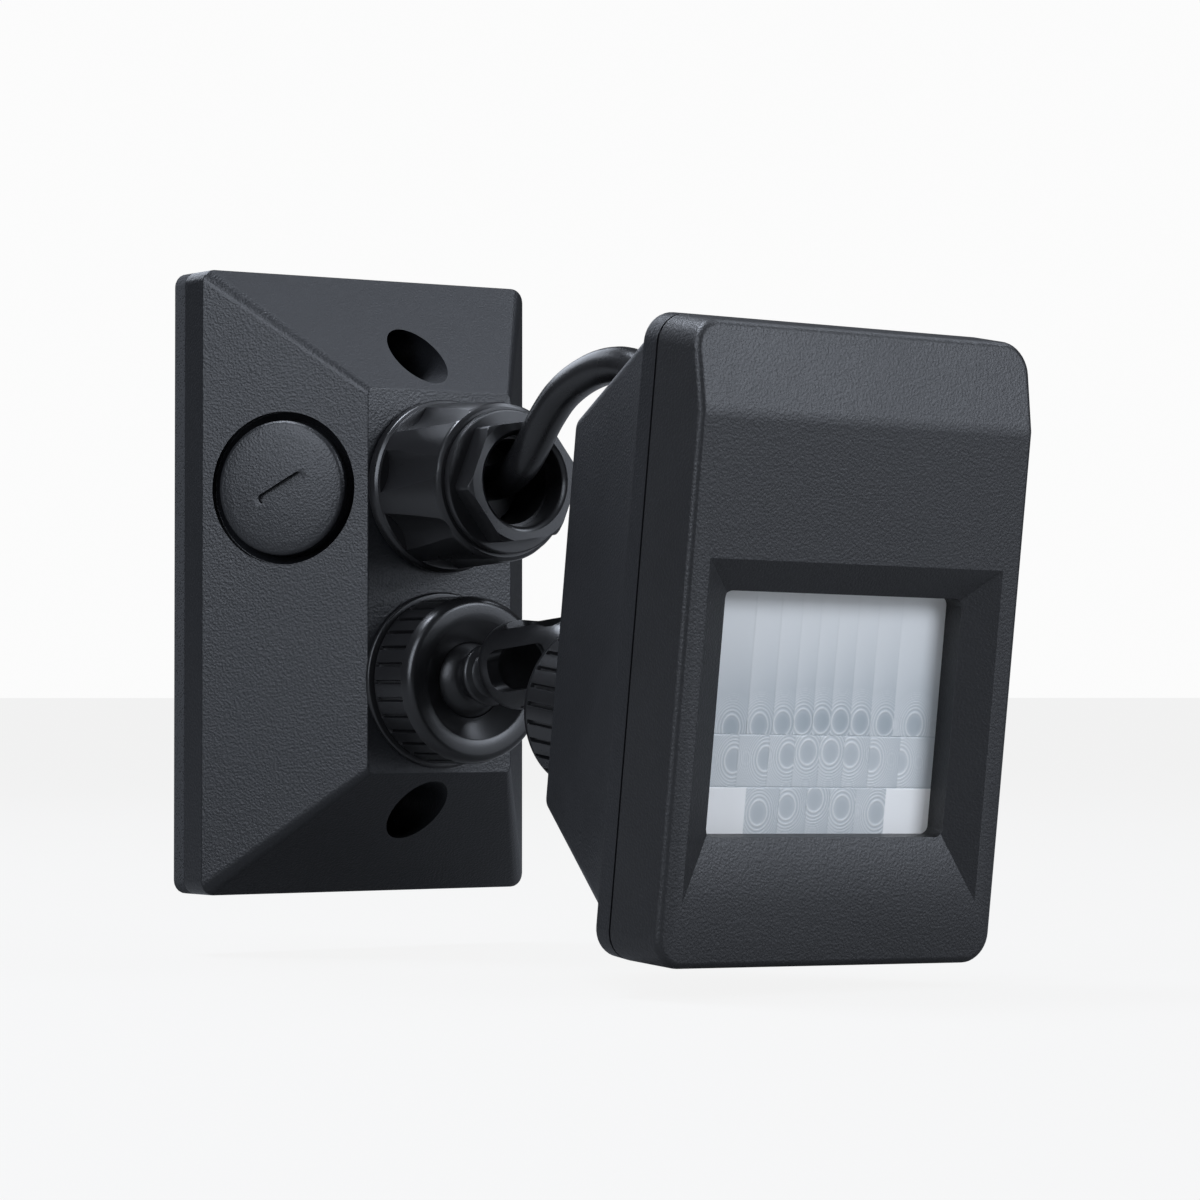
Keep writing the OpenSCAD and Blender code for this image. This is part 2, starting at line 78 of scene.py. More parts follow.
HEAD_D, HUB_Z = 58.3, -18.7
HEAD_HALF_W, HEAD_TOP, HEAD_BOTTOM = 34, 49.6, -52.8
HEAD_CORNER, BODY_CORNER = 5, 3.2
BEZEL_D, SEAM, FLANGE_BACK, SHELL_WALL = 12.2, 0.4, 16.6, 2.4
CREASE_Z, DRAFT = 35, 0.6
BODY_HALF_W, BODY_TOP, BODY_BOTTOM, BODY_STRAIGHT = 31.3, 46.5, -47, 20
BACK_HALF_W, BACK_TOP, BACK_BOTTOM = 16.9, 31.2, -35.3
HOPPER_HALF_W, HOPPER_TOP, HOPPER_BOTTOM, HOPPER_D = 29.4, 12.2, -41.9, 2.9
WINDOW_W, WINDOW_TOP, WINDOW_BOTTOM = 23.8, 7.1, -31.8
LENS_Y, LENS_GROW, LENS_T = 6.9, 1.6, 0.85
SCREWS = [(x, z) for x in (-15, 15) for z in (42, -43)]
SCREW_SEAT = 18.4
DIAL_X, DIAL_Y = 9, 44
GROMMET = Vector((0, -110, 28.6))
LEAD_IN_SLOPE = pi / 2 + atan2(2, 3)
ARM_ROLL = -12
CAGE_LIFT = 0.9

# Places of the parts' own frames
UNIT = Matrix.Scale(0.001, 4)
AT_GLAND = UNIT @ Matrix.Translation((0, -FACE_Y, GLAND_Z))
AT_ARM_HUB = UNIT @ Matrix.Translation((0, -FACE_Y, ARM_Z))
IN_ARM = UNIT @ Matrix.Translation(WALL_BALL) @ Matrix.Rotation(-ARM_RISE, 4, "X")
IN_HEAD = (UNIT @ Matrix.Translation(HEAD_BALL) @ Matrix.Rotation(HEAD_NOD, 4, "X")
           @ Matrix.Rotation(HEAD_TURN, 4, "Y") @ Matrix.Translation((0, -HEAD_D - BALL_OUT, -HUB_Z)))
AT_HEAD_HUB = IN_HEAD @ Matrix.Translation((0, HEAD_D, HUB_Z)) @ Matrix.Rotation(pi, 4, "Z")
ON_PLUG_SLOPE = (UNIT @ Matrix.Translation((-PLATE_W / 2 + SLOPE_RUN * PLUG_UP / SLOPE_LEN,
                                            -RIM_FRONT - SLOPE_T * PLUG_UP / SLOPE_LEN, PLUG_Z))
                 @ Matrix.Rotation(atan2(-SLOPE_RUN, -SLOPE_T), 4, "Z") @ Matrix.Rotation(pi / 2, 4, "Y"))


# ---------------------------------------------------------------- camera, floor and light

AIM = Vector((0, -0.08, -0.01))
COOL = (0.90, 0.97, 1.10)


def add_camera():
    """The camera that the main view is taken with."""
    right = Vector((0.8238, -0.5668, 0)).normalized()
    forward = Vector((0.5667, 0.8237, 0.0225)).normalized()
    up = right.cross(forward)
    data = bpy.data.cameras.new("camera")
    data.sensor_width, data.lens = 36, 129.45
    camera = bpy.data.objects.new("camera", data)
    bpy.context.scene.collection.objects.link(camera)
    turn = Matrix((right, up, -forward)).transposed().to_4x4()
    camera.matrix_world = Matrix.Translation((-0.42094, -0.69954, -0.02098)) @ turn
    bpy.context.scene.camera = camera


def add_soft_box(name, way, distance, size, brightness):
    """A rectangular lamp in a direction from the sensor; brightness is its face's own."""
    data = bpy.data.lights.new(name, "AREA")
    data.shape, data.size, data.size_y = "RECTANGLE", size[0], size[1]
    data.energy, data.color = brightness * pi * size[0] * size[1], COOL
    lamp = bpy.data.objects.new(name, data)
    bpy.context.scene.collection.objects.link(lamp)
    lamp.location = AIM + Vector(way).normalized() * distance
    lamp.rotation_mode = "QUATERNION"
    lamp.rotation_quaternion = (-Vector(way)).to_track_quat("-Z", "Y")
    lamp.visible_camera = False


def add_surroundings():
    """The camera sees a pale background, and the sensor gets only a faint glow from it."""
    bpy.context.scene.view_settings.view_transform = "Standard"
    world = bpy.data.worlds.new("studio")
    bpy.context.scene.world = world
    world.use_nodes = True
    tree = world.node_tree
    back = tree.nodes["Background"]
    seen = tree.nodes.new("ShaderNodeBackground")
    seen.inputs["Color"].default_value = (1, 1, 1, 1)
    seen.inputs["Strength"].default_value = 0.97
    back.inputs["Color"].default_value = (0.86, 0.9, 1, 1)
    back.inputs["Strength"].default_value = 0.06
    mix = tree.nodes.new("ShaderNodeMixShader")
    path = tree.nodes.new("ShaderNodeLightPath")
    tree.links.new(path.outputs["Is Camera Ray"], mix.inputs["Fac"])
    tree.links.new(back.outputs[0], mix.inputs[1])
    tree.links.new(seen.outputs[0], mix.inputs[2])
    tree.links.new(mix.outputs[0], tree.nodes["World Output"].inputs["Surface"])


# ---------------------------------------------------------------- finishes

class Level:
    """A number that changes over a surface. Python's operators add the Math nodes."""

    def __init__(self, finish, socket):
        self.finish, self.socket = finish, socket

    def math(self, operation, *values):
        return self.finish.node("ShaderNodeMath", {"operation": operation}, dict(enumerate(values)))

    def __add__(self, other):
        return self.math("ADD", self, other)

    def __radd__(self, other):
        return self.math("ADD", other, self)

    def __sub__(self, other):
        return self.math("SUBTRACT", self, other)

    def __rsub__(self, other):
        return self.math("SUBTRACT", other, self)

    def __mul__(self, other):
        return self.math("MULTIPLY", self, other)

    def __rmul__(self, other):
        return self.math("MULTIPLY", other, self)

    def ramp(self, low, high):
        """0 below low, 1 above high and smooth between."""
        return self.finish.node("ShaderNodeMapRange", {"interpolation_type": "SMOOTHSTEP"},
                                {"Value": self, "From Min": low, "From Max": high})


class Finish:
    """One material, drawn in the object's own space."""

    def __init__(self, name, **fixed):
        self.material = bpy.data.materials.new(name)
        self.material.use_nodes = True
        self.tree = self.material.node_tree
        self.shader = self.tree.nodes["Principled BSDF"]
        for socket, value in fixed.items():
            self.shader.inputs[socket.replace("_", " ")].default_value = value
        self.space = self.node("ShaderNodeTexCoord", out="Object")

    def node(self, kind, settings=None, inputs=None, out=0):
        node = self.tree.nodes.new(kind)
        for key, value in (settings or {}).items():
            if key == "stops":
                for i, (at, colour) in enumerate(value):
                    stop = node.color_ramp.elements[i] if i < 2 else node.color_ramp.elements.new(at)
                    stop.position, stop.color = at, colour + (1,)
            else:
                setattr(node, key, value)
        for key, value in (inputs or {}).items():
            self.join(node.inputs[key], value)
        return Level(self, node.outputs[out])

    def join(self, target, value):
        if isinstance(value, Level):
            self.tree.links.new(value.socket, target)
        else:
            target.default_value = value

    def set(self, **inputs):
        for socket, value in inputs.items():
            self.join(self.shader.inputs[socket.replace("_", " ")], value)
        return self

    def noise(self, scale, detail=2.0, rough=0.5, space=None):
        return self.node("ShaderNodeTexNoise", {}, {"Vector": space or self.space, "Scale": scale,
                                                    "Detail": detail, "Roughness": rough})

    def cells(self, scale, feature="F1"):
        return self.node("ShaderNodeTexVoronoi", {"feature": feature}, {"Vector": self.space, "Scale": scale})

    def axes(self):
        split = self.tree.nodes.new("ShaderNodeSeparateXYZ")
        self.join(split.inputs[0], self.space)
        return [Level(self, split.outputs[i]) for i in range(3)]

    def stretch(self, scale):
        return self.node("ShaderNodeMapping", {}, {"Vector": self.space, "Scale": scale})

    def tones(self, factor, *stops):
        return self.node("ShaderNodeValToRGB", {"stops": stops}, {"Fac": factor})

    def blend(self, factor, first, second):
        node = self.tree.nodes.new("ShaderNodeMix")
        node.data_type = "RGBA"
        self.join(node.inputs["Factor"], factor)
        for socket, value in ((node.inputs[6], first), (node.inputs[7], second)):
            self.join(socket, value if isinstance(value, Level) else value + (1,))
        return Level(self, node.outputs[2])

    def relief(self, height, depth):
        """A height from 0 to 1 that stands out by a depth in metres."""
        return self.node("ShaderNodeBump", {}, {"Height": height, "Distance": depth, "Strength": 1.0})


def pebbled(name, dark, light, rough):
    """Black moulded plastic with a fine leather grain."""
    f = Finish(name)
    pebbles = f.cells(2500, "SMOOTH_F1")
    fine = f.noise(5500, 3)
    handled = f.noise(38, 4, 0.6)
    f.set(Base_Color=f.tones(handled * 0.6 + pebbles * 0.4, (0.25, dark), (0.75, light)),
          Roughness=rough + (handled - 0.5) * 0.12 + (fine - 0.5) * 0.1,
          Normal=f.relief(pebbles * 0.7 + fine * 0.3, 0.00008))
    return f.material


def moulded(name, dark, light, rough):
    """Smooth moulded plastic: faint flow marks, tool polish and dust."""
    f = Finish(name)
    flow = f.noise(1.0, 3, 0.55, f.stretch((60, 25, 60)))
    fine = f.noise(2600, 2)
    f.set(Base_Color=f.tones(flow, (0.3, dark), (0.7, light)),
          Roughness=rough + (flow - 0.5) * 0.14 + (fine - 0.5) * 0.06,
          Normal=f.relief(fine * 0.5 + flow * 0.5, 0.000012))
    return f.material


def rubber(name, dark, light, rough):
    f = Finish(name)
    skin = f.noise(900, 3)
    bloom = f.noise(90, 4)
    f.set(Base_Color=f.tones(bloom, (0.35, dark), (0.7, light)),
          Roughness=rough + (bloom - 0.5) * 0.16,
          Normal=f.relief(skin, 0.00002))
    return f.material


def foam(name):
    """Closed-cell sheet: open pores where it was cut."""
    f = Finish(name)
    pores = f.cells(1900, "F1")
    coarse = f.noise(420, 4)
    pits = pores.ramp(0.05, 0.5)
    # The colour follows the relief: the pores and low spots are painted darker, a painted shade in the
    # hollows.
    f.set(Base_Color=f.tones(pits * 0.7 + coarse * 0.3, (0.2, (0.006, 0.006, 0.006)),
                             (0.8, (0.03, 0.031, 0.033))),
          Roughness=0.86 + coarse * 0.1, Normal=f.relief(pits * 0.7 + coarse * 0.3, 0.00012))
    return f.material


def metal(name, dark, light, rough, grain=(900, 900, 60)):
    f = Finish(name)
    drawn = f.noise(1.0, 3, 0.6, f.stretch(grain))
    stain = f.noise(120, 4)
    f.set(Base_Color=f.tones(drawn * 0.5 + stain * 0.5, (0.3, dark), (0.7, light)), Metallic=1.0,
          Roughness=rough + (stain - 0.5) * 0.2 + (drawn - 0.5) * 0.1,
          Normal=f.relief(drawn, 0.000012))
    return f.material


def circuit(name):
    """Green lacquered board with copper tracks under the lacquer."""
    f = Finish(name)
    x, _, z = f.axes()
    track = f.node("ShaderNodeTexBrick", {"offset": 0.37, "offset_frequency": 3},
                   {"Vector": f.stretch((1, 0, 1)), "Scale": 210.0, "Mortar Size": 0.09,
                    "Brick Width": 1.1, "Row Height": 0.42}, out="Fac")
    weave = (x.math("SINE", x * 5200) + z.math("SINE", z * 5200)) * 0.25 + 0.5
    spots = f.noise(160, 2)
    f.set(Base_Color=f.blend(track, f.tones(spots, (0.3, (0.012, 0.075, 0.03)), (0.7, (0.018, 0.1, 0.04))),
                             (0.03, 0.19, 0.07)),
          Roughness=0.28 + spots * 0.16, Normal=f.relief(track * 0.8 + weave * 0.2, 0.00003))
    return f.material


def lens_plastic(name):
    """Milky polyethylene, given a faint glow: a painted light. The sheet carries each panel's ring height,
    and its tone with painted light and shade.
    """
    # The faint emission makes the sheet glow though it is no lamp: a painted light.
    f = Finish(name, IOR=1.5, Specular_IOR_Level=0.45, Emission_Strength=0.06)
    ring = f.node("ShaderNodeAttribute", {"attribute_name": "ring"}, out="Fac")
    shade = f.node("ShaderNodeAttribute", {"attribute_name": "shade"}, out="Fac")
    cloud = f.noise(45, 3)
    tone = f.tones(shade + (cloud - 0.5) * 0.05,
                   (0.0, (0.165, 0.205, 0.225)), (0.5, (0.33, 0.37, 0.39)), (1.0, (0.88, 0.87, 0.84)))
    # The colour and the glow carry the sheet's painted light and shade.
    f.set(Base_Color=tone, Emission_Color=tone, Roughness=0.34 + (ring - 0.5) * 0.1 + cloud * 0.06,
          Normal=f.relief(ring, 0.00004))
    return f.material


def boxed(name, dark, light, rough, rib=0.0):
    """Moulded case of an electronic part, with faint ribs or pressed marks."""
    f = Finish(name)
    _, _, z = f.axes()
    ribs = z.math("SINE", z * 2200).ramp(0.6, 0.9)
    cloud = f.noise(260, 3)
    fine = f.noise(2400, 2)
    f.set(Base_Color=f.tones(cloud, (0.3, dark), (0.7, light)),
          Roughness=rough + (fine - 0.5) * 0.12, Normal=f.relief(fine * 0.4 + ribs * rib, 0.00003))
    return f.material


BLACK = pebbled("shell_black", (0.0075, 0.0078, 0.0088), (0.0115, 0.012, 0.0135), 0.43)
COVER_BLACK = pebbled("cover_black", (0.007, 0.0074, 0.0085), (0.011, 0.0118, 0.0135), 0.40)
HEAD_BLACK = pebbled("head_black", (0.0085, 0.0085, 0.009), (0.013, 0.013, 0.0138), 0.45)
GLAND_BLACK = moulded("gland_black", (0.006, 0.006, 0.0065), (0.0095, 0.0095, 0.010), 0.30)
ARM_BLACK = moulded("arm_black", (0.006, 0.006, 0.0065), (0.0095, 0.0095, 0.010), 0.34)
SEAT_BLACK = moulded("socket_black", (0.004, 0.004, 0.0044), (0.007, 0.007, 0.0075), 0.5)
FRAME_BLACK = moulded("frame_black", (0.008, 0.008, 0.008), (0.014, 0.014, 0.014), 0.55)
LEAD_RUBBER = rubber("lead_rubber", (0.0065, 0.0065, 0.007), (0.0115, 0.0115, 0.012), 0.27)
SEAL_RUBBER = rubber("seal_rubber", (0.006, 0.006, 0.006), (0.012, 0.012, 0.012), 0.55)
FOAM = foam("gasket_foam")
ZINC = metal("zinc_plate", (0.42, 0.43, 0.45), (0.6, 0.61, 0.62), 0.34)
STEEL = metal("screw_steel", (0.5, 0.5, 0.5), (0.68, 0.68, 0.67), 0.28, (700, 80, 700))
CAN = metal("sensor_can", (0.5, 0.47, 0.4), (0.66, 0.62, 0.52), 0.26)
LENS = lens_plastic("lens_sheet")
BOARD = circuit("board_green")
IVORY = boxed("terminal_ivory", (0.55, 0.53, 0.46), (0.66, 0.64, 0.57), 0.4, 0.3)
RELAY = boxed("relay_blue", (0.02, 0.06, 0.2), (0.03, 0.085, 0.26), 0.32, 0.5)
CAPACITOR = boxed("capacitor_case", (0.3, 0.05, 0.02), (0.4, 0.075, 0.03), 0.36, 0.2)
CELL = boxed("photo_cell", (0.4, 0.12, 0.05), (0.6, 0.25, 0.12), 0.3, 0.9)
LED = boxed("led_red", (0.35, 0.01, 0.008), (0.5, 0.02, 0.015), 0.18)
WIRE = boxed("wire_skin", (0.25, 0.012, 0.01), (0.33, 0.02, 0.016), 0.34)
DIAL = boxed("dial_grey", (0.05, 0.05, 0.052), (0.075, 0.075, 0.078), 0.42)
DIAL_BODY = boxed("dial_body", (0.03, 0.03, 0.034), (0.05, 0.05, 0.055), 0.4)


# ---------------------------------------------------------------- shaping

def clear():
    """Leaves edit mode with nothing selected."""
    if bpy.context.object and bpy.context.object.mode != "OBJECT":
        bpy.ops.object.mode_set(mode="OBJECT")
    bpy.ops.object.select_all(action="DESELECT")


def only(obj):
    """Selects one object and makes it the active one."""
    clear()
    obj.select_set(True)
    bpy.context.view_layer.objects.active = obj


def named(name):
    """Names the object just added, and moves its place into its mesh."""
    obj = bpy.context.object
    obj.name = obj.data.name = name
    bpy.ops.object.transform_apply(location=True, rotation=True, scale=True)
    return obj


def block(name, low, high):
    """A box between two corners."""
    clear()
    bpy.ops.mesh.primitive_cube_add(size=1, location=[(a + b) / 2 for a, b in zip(low, high)],
                                    scale=[b - a for a, b in zip(low, high)])
    return named(name)


def pick(obj, test, kind="FACE"):
    """Selects the faces or edges that pass a test, in edit mode."""
    if obj.mode != "EDIT":
        only(obj)
        bpy.ops.object.mode_set(mode="EDIT")
    bpy.ops.mesh.select_mode(type=kind)
    bpy.ops.mesh.select_all(action="DESELECT")
    mesh = bmesh.from_edit_mesh(obj.data)
    mesh.normal_update()
    items = mesh.faces if kind == "FACE" else mesh.edges
    count = 0
    for item in items:
        if test(item):
            item.select_set(True)
            count += 1
    bmesh.update_edit_mesh(obj.data)
    return count


def done(obj):
    clear()
    return obj


def round_edges(obj, test, width, segments=4):
    """Bevels the edges that pass a test."""
    if pick(obj, test, "EDGE"):
        bpy.ops.mesh.bevel(offset=width, segments=segments, affect="EDGES", clamp_overlap=False)
    return done(obj)


def along_y(edge):
    """Whether an edge runs front to back."""
    a, b = (v.co for v in edge.verts)
    return abs(a.x - b.x) < 1e-4 and abs(a.z - b.z) < 1e-4


def push(obj, test, move, size=(1, 1, 1), centre=(0, 0, 0)):
    """Extrudes the picked faces by a move, then resizes them about a point."""
    pick(obj, test)
    bpy.ops.mesh.extrude_region_move(TRANSFORM_OT_translate={"value": move})
    bpy.ops.transform.resize(value=size, center_override=centre)
    return done(obj)


def squeeze(obj, test, size, centre):
    """Resizes the picked faces about a point without a new wall."""
    pick(obj, test)
    bpy.ops.transform.resize(value=size, center_override=centre)
    return done(obj)


def turned(name, profile, sides=96, ring=False):
    """A shape turned about -Y. The profile is [radius, distance out], from the first ring on;
    a ring closes on its first point, and anything else is capped at both ends."""
    r, out = profile[0]
    clear()
    bpy.ops.mesh.primitive_circle_add(vertices=sides, radius=r, location=(0, -out, 0),
                                      rotation=(pi / 2, 0, 0), fill_type="NOTHING" if ring else "NGON")
    obj = named(name)
    bpy.ops.object.mode_set(mode="EDIT")
    bpy.ops.mesh.select_mode(type="VERT")
    bpy.ops.mesh.select_all(action="SELECT")
    for r2, out2 in profile[1:] + ([profile[0]] if ring else []):
        bpy.ops.mesh.extrude_region_move(TRANSFORM_OT_translate={"value": (0, out - out2, 0)})
        if abs(r2 - r) > 1e-6:
            bpy.ops.transform.resize(value=(r2 / r, 1, r2 / r), center_override=(0, -out2, 0))
        r, out = r2, out2
    bpy.ops.mesh.select_all(action="SELECT")
    bpy.ops.mesh.remove_doubles(threshold=0.0005)
    bpy.ops.mesh.normals_make_consistent(inside=False)
    return done(obj)


def cut(obj, *tools, operation="DIFFERENCE"):
    """Takes tools away from a solid, or keeps what it shares with them."""
    for tool in tools:
        modifier = obj.modifiers.new("cut", "BOOLEAN")
        modifier.operation, modifier.object, modifier.solver = operation, tool, "EXACT"
        only(obj)
        bpy.ops.object.modifier_apply(modifier=modifier.name)
        bpy.data.objects.remove(tool)
    return obj


def joined(obj, *others):
    """Makes one solid of several."""
    return cut(obj, *others, operation="UNION")


def soften(obj, width, segments=2, angle=30):
    """Rounds every edge sharper than an angle in degrees."""
    modifier = obj.modifiers.new("soften", "BEVEL")
    modifier.width, modifier.segments = width, segments
    modifier.limit_method, modifier.angle_limit = "ANGLE", radians(angle)
    modifier.miter_outer = "MITER_ARC"
    modifier.use_clamp_overlap = True
    only(obj)
    bpy.ops.object.modifier_apply(modifier=modifier.name)
    return done(obj)


def moved(obj, matrix):
    """Moves a mesh, and leaves its object at the origin."""
    only(obj)
    obj.matrix_world = matrix
    bpy.ops.object.transform_apply(location=True, rotation=True, scale=True)
    return done(obj)


def fit(obj, place, material, body, *nodes, slot=None, smooth=35):
    """Puts a finished piece in its place, gives it its finish and body, and hides the CAD nodes that it
    replaces.
    """
    moved(obj, place)
    only(obj)
    bpy.ops.object.shade_smooth_by_angle(angle=radians(smooth))
    flat = obj.modifiers.new("flat_faces", "WEIGHTED_NORMAL")
    flat.keep_sharp, flat.weight = True, 80
    bpy.ops.object.modifier_apply(modifier=flat.name)
    obj.data.materials.clear()
    obj.data.materials.append(material)
    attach(obj, body)
    if nodes:
        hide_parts(*nodes)
    return done(obj)


# ---------------------------------------------------------------- wall cover

def cover_block(name, inset):
    """The cover's four slopes: a rim, then one extrusion drawn in to the raised face."""
    rim = RIM_FRONT - inset * 0.4
    low = (-PLATE_W / 2 + inset, -rim, -PLATE_H / 2 + inset)
    obj = block(name, low, (PLATE_W / 2 - inset, -GASKET_T + (0.01 if inset else 0), PLATE_H / 2 - inset))
    round_edges(obj, along_y, max(PLATE_CORNER - inset, 0.6), 5)
    face = FACE_Y - inset
    push(obj, lambda f: f.normal.y < -0.9, (0, rim - face, 0),
         ((FACE_W - 1.2 * inset) / (PLATE_W - 2 * inset), 1,
          (FACE_H - 1.2 * inset) / (PLATE_H - 2 * inset)), (0, -face, 0))
    return obj


def rod(name, r, out0, out1, x=0, z=0, sides=48):
    """A cylinder along -Y between two distances out."""
    clear()
    bpy.ops.mesh.primitive_cylinder_add(vertices=sides, radius=r, depth=out1 - out0,
                                        location=(x, -(out0 + out1) / 2, z), rotation=(pi / 2, 0, 0))
    return named(name)


def upright(name, r, z0, z1, sides=64):
    """A cylinder along Z."""
    clear()
    bpy.ops.mesh.primitive_cylinder_add(vertices=sides, radius=r, depth=z1 - z0,
                                        location=(0, 0, (z0 + z1) / 2))
    return named(name)


def make_cover():
    """The wall cover: a shallow pyramid over a hollow, with its holes and its pocket."""
    cover = cover_block("cover", 0)
    soften(cover, 0.55, 3, 12)
    cut(cover, cover_block("hollow", COVER_WALL))
    on_slope = UNIT.inverted() @ ON_PLUG_SLOPE
    for z in (-SCREW_Z, SCREW_Z):
        tube = rod("well_wall", WELL_R + 1.8, GASKET_T, 30, z=z)
        cut(tube, cover_block("trim", 0.01), operation="INTERSECT")
        joined(cover, tube)
    boss = moved(upright("boss", POCKET_R + 1, -6, 1, 96), on_slope)
    cut(boss, cover_block("trim", 0.01), operation="INTERSECT")
    joined(cover, boss)
    for z in (-SCREW_Z, SCREW_Z):
        cut(cover, rod("well", WELL_R, WELL_FLOOR, FACE_Y, z=z, sides=64),
            rod("hole", SCREW_HOLE_R, 0, WELL_FLOOR + 1, z=z))
    cut(cover, moved(upright("pocket", POCKET_R, -1.6, 5, 96), on_slope),
        moved(upright("plug_way", PLUG_TUBE_R + 0.05, -14, 0, 96), on_slope),
        moved(turned("groove", [[PLUG_R - 0.3, -1.5], [POCKET_R - 0.02, -1.5], [PLUG_R + 0.3, -3.4]],
                     96, True), on_slope @ Matrix.Rotation(-pi / 2, 4, "X")))
    for z in (GLAND_Z, ARM_Z):
        cut(cover, rod("way", TUBE_R + 0.05, FACE_Y - 12, FACE_Y + 1, z=z, sides=96))
    soften(cover, 0.22, 2, 40)
    fit(cover, UNIT, COVER_BLACK, "wall_unit", "cover_plate", slot="cover_plastic", smooth=25)


def make_gasket():
    pad = block("foam_gasket", (-PLATE_W / 2, -GASKET_T, -PLATE_H / 2), (PLATE_W / 2, 0, PLATE_H / 2))
    round_edges(pad, along_y, PLATE_CORNER, 5)
    window = block("opening", (-26, -GASKET_T - 1, -33), (26, 1, 33))
    round_edges(window, along_y, 4, 6)
    cut(pad, window, *[rod("hole", SCREW_HOLE_R, -1, GASKET_T + 1, z=z) for z in (-SCREW_Z, SCREW_Z)])
    soften(pad, 0.3, 2, 40)
    fit(pad, UNIT, FOAM, "wall_unit", "gasket", slot="gasket_foam")


def make_plug():
    plug = turned("closure_cap", [
        [PLUG_TUBE_R, -8], [PLUG_TUBE_R, -0.9], [PLUG_R, -0.9], [PLUG_R, 0.5], [PLUG_R - 0.25, 0.85],
        [PLUG_R - 0.7, 1.1], [9.5, 1.3], [6, 1.5], [2, 1.6]])
    slot = block("slot", (-4.7, -3.5, -0.9), (4.7, -0.5, 0.9))
    round_edges(slot, along_y, 0.7, 4)
    cut(plug, moved(slot, Matrix.Rotation(radians(60), 4, "Y")), rod("hollow", 7.5, -9, -2))
    soften(plug, 0.12, 2, 40)
    fit(plug, ON_PLUG_SLOPE @ Matrix.Rotation(-pi / 2, 4, "X"), COVER_BLACK, "wall_unit",
        "closure_plug", slot="cover_plastic")


# ---------------------------------------------------------------- gland and lead

def make_gland():
    """The gland: threaded tube, coupling ring, washer and hexagon nut."""
    body = turned("gland_tube", [
        [BORE_R, -9], [TUBE_R, -9], [TUBE_R, 0.1], [13.2, 0.1], [13.2, 1.6], [TUBE_R, 1.6],
        [TUBE_R, COUPLING_FRONT], [BORE_R, COUPLING_FRONT]], 96, True)
    for out in (-8.6, -7.6, -6.6, -5.6):
        cut(body, turned("thread", [[TUBE_R - 0.5, out], [TUBE_R + 0.3, out - 0.3],
                                    [TUBE_R + 0.3, out + 0.3]], 96, True))
    fit(body, AT_GLAND, GLAND_BLACK, "wall_unit", "gland_body", slot="gland_plastic")

    nut = turned("fluted_nut", [
        [TUBE_R + 0.05, 1.7], [13.3, 1.7], [13.3, 0.2], [15.1, 0.2], [15.5, 0.35], [15.7, 0.8],
        [15.7, 2.2], [15.5, 2.6], [15.1, 2.9], [14.3, COUPLING_FRONT - 1.1],
        [14.05, COUPLING_FRONT - 0.5], [13.4, COUPLING_FRONT], [TUBE_R + 0.05, COUPLING_FRONT]],
        192, True)
    for i in range(8):
        flute = upright("flute", 7.7, 0, 24, 64)
        place = (Matrix.Rotation(radians(i * 45 + 9), 4, "Y") @ Matrix.Translation((0, -3.4, 21.1))
                 @ Matrix.Rotation(radians(88), 4, "X"))
        cut(nut, moved(flute, place))
    soften(nut, 0.18, 2, 28)
    fit(nut, AT_GLAND, GLAND_BLACK, "wall_unit", "coupling_nut", slot="gland_plastic", smooth=28)

    washer = turned("gland_ring", [
        [BORE_R, COUPLING_FRONT], [12.5, COUPLING_FRONT], [12.8, COUPLING_FRONT + 0.12],
        [12.9, COUPLING_FRONT + 0.4], [12.9, WASHER_FRONT - 0.4], [12.8, WASHER_FRONT - 0.12],
        [12.5, WASHER_FRONT], [BORE_R, WASHER_FRONT]], 128, True)
    fit(washer, AT_GLAND, ARM_BLACK, "wall_unit", "gland_washer", slot="gland_plastic")

    hexagon = rod("hex_nut", 11.9, WASHER_FRONT, GLAND_FRONT, sides=6)
    moved(hexagon, Matrix.Rotation(radians(22), 4, "Y"))
    round_edges(hexagon, along_y, 0.45, 3)
    cut(hexagon, turned("chamfer", [
        [2, WASHER_FRONT - 1], [11.6, WASHER_FRONT - 1], [11.6, WASHER_FRONT], [12.0, WASHER_FRONT + 0.5],
        [12.0, GLAND_FRONT - 1], [11.5, GLAND_FRONT - 0.4], [10.9, GLAND_FRONT + 0.01],
        [2, GLAND_FRONT + 0.01]], 96), operation="INTERSECT")
    cut(hexagon, turned("bore", [
        [8.2, WASHER_FRONT - 1], [8.2, GLAND_FRONT - 1.1], [8.4, GLAND_FRONT - 0.6],
        [8.8, GLAND_FRONT - 0.2], [9.4, GLAND_FRONT + 0.2]], 96))
    soften(hexagon, 0.15, 2, 28)
    fit(hexagon, AT_GLAND, GLAND_BLACK, "wall_unit", "gland_nut", slot="gland_plastic", smooth=28)

    seal = turned("gland_sleeve", [[3.3, 2], [7.4, 2], [BORE_R - 0.05, 2.6], [BORE_R - 0.05, 13.2],
                                   [7.2, 14], [3.3, 14]], 64, True)
    fit(seal, AT_GLAND, SEAL_RUBBER, "wall_unit", "gland_seal", slot="seal_rubber")


# The y and z of the lead's middle, from inside the gland to inside the head
LEAD_ROUTE = [
    (-27, 17.3), (-33, 17.3), (-39, 17.3), (-45, 17.3), (-51, 17.3), (-55, 17.4),
    (-58.5, 18.1), (-61.5, 19.3), (-64.4, 21.1), (-67.3, 23.9), (-70.6, 27.5), (-74.5, 30.8), (-78, 32.8),
    (-81.6, 34.2), (-85.3, 35.2), (-89, 35.8), (-93, 35.9), (-96.5, 35.5), (-100, 34.5),
    (-104, 32.6), (-107, 30.6), (-110, 28.6), (-113, 26.6), (-116, 24.6),
    (-118.5, 22.93)]


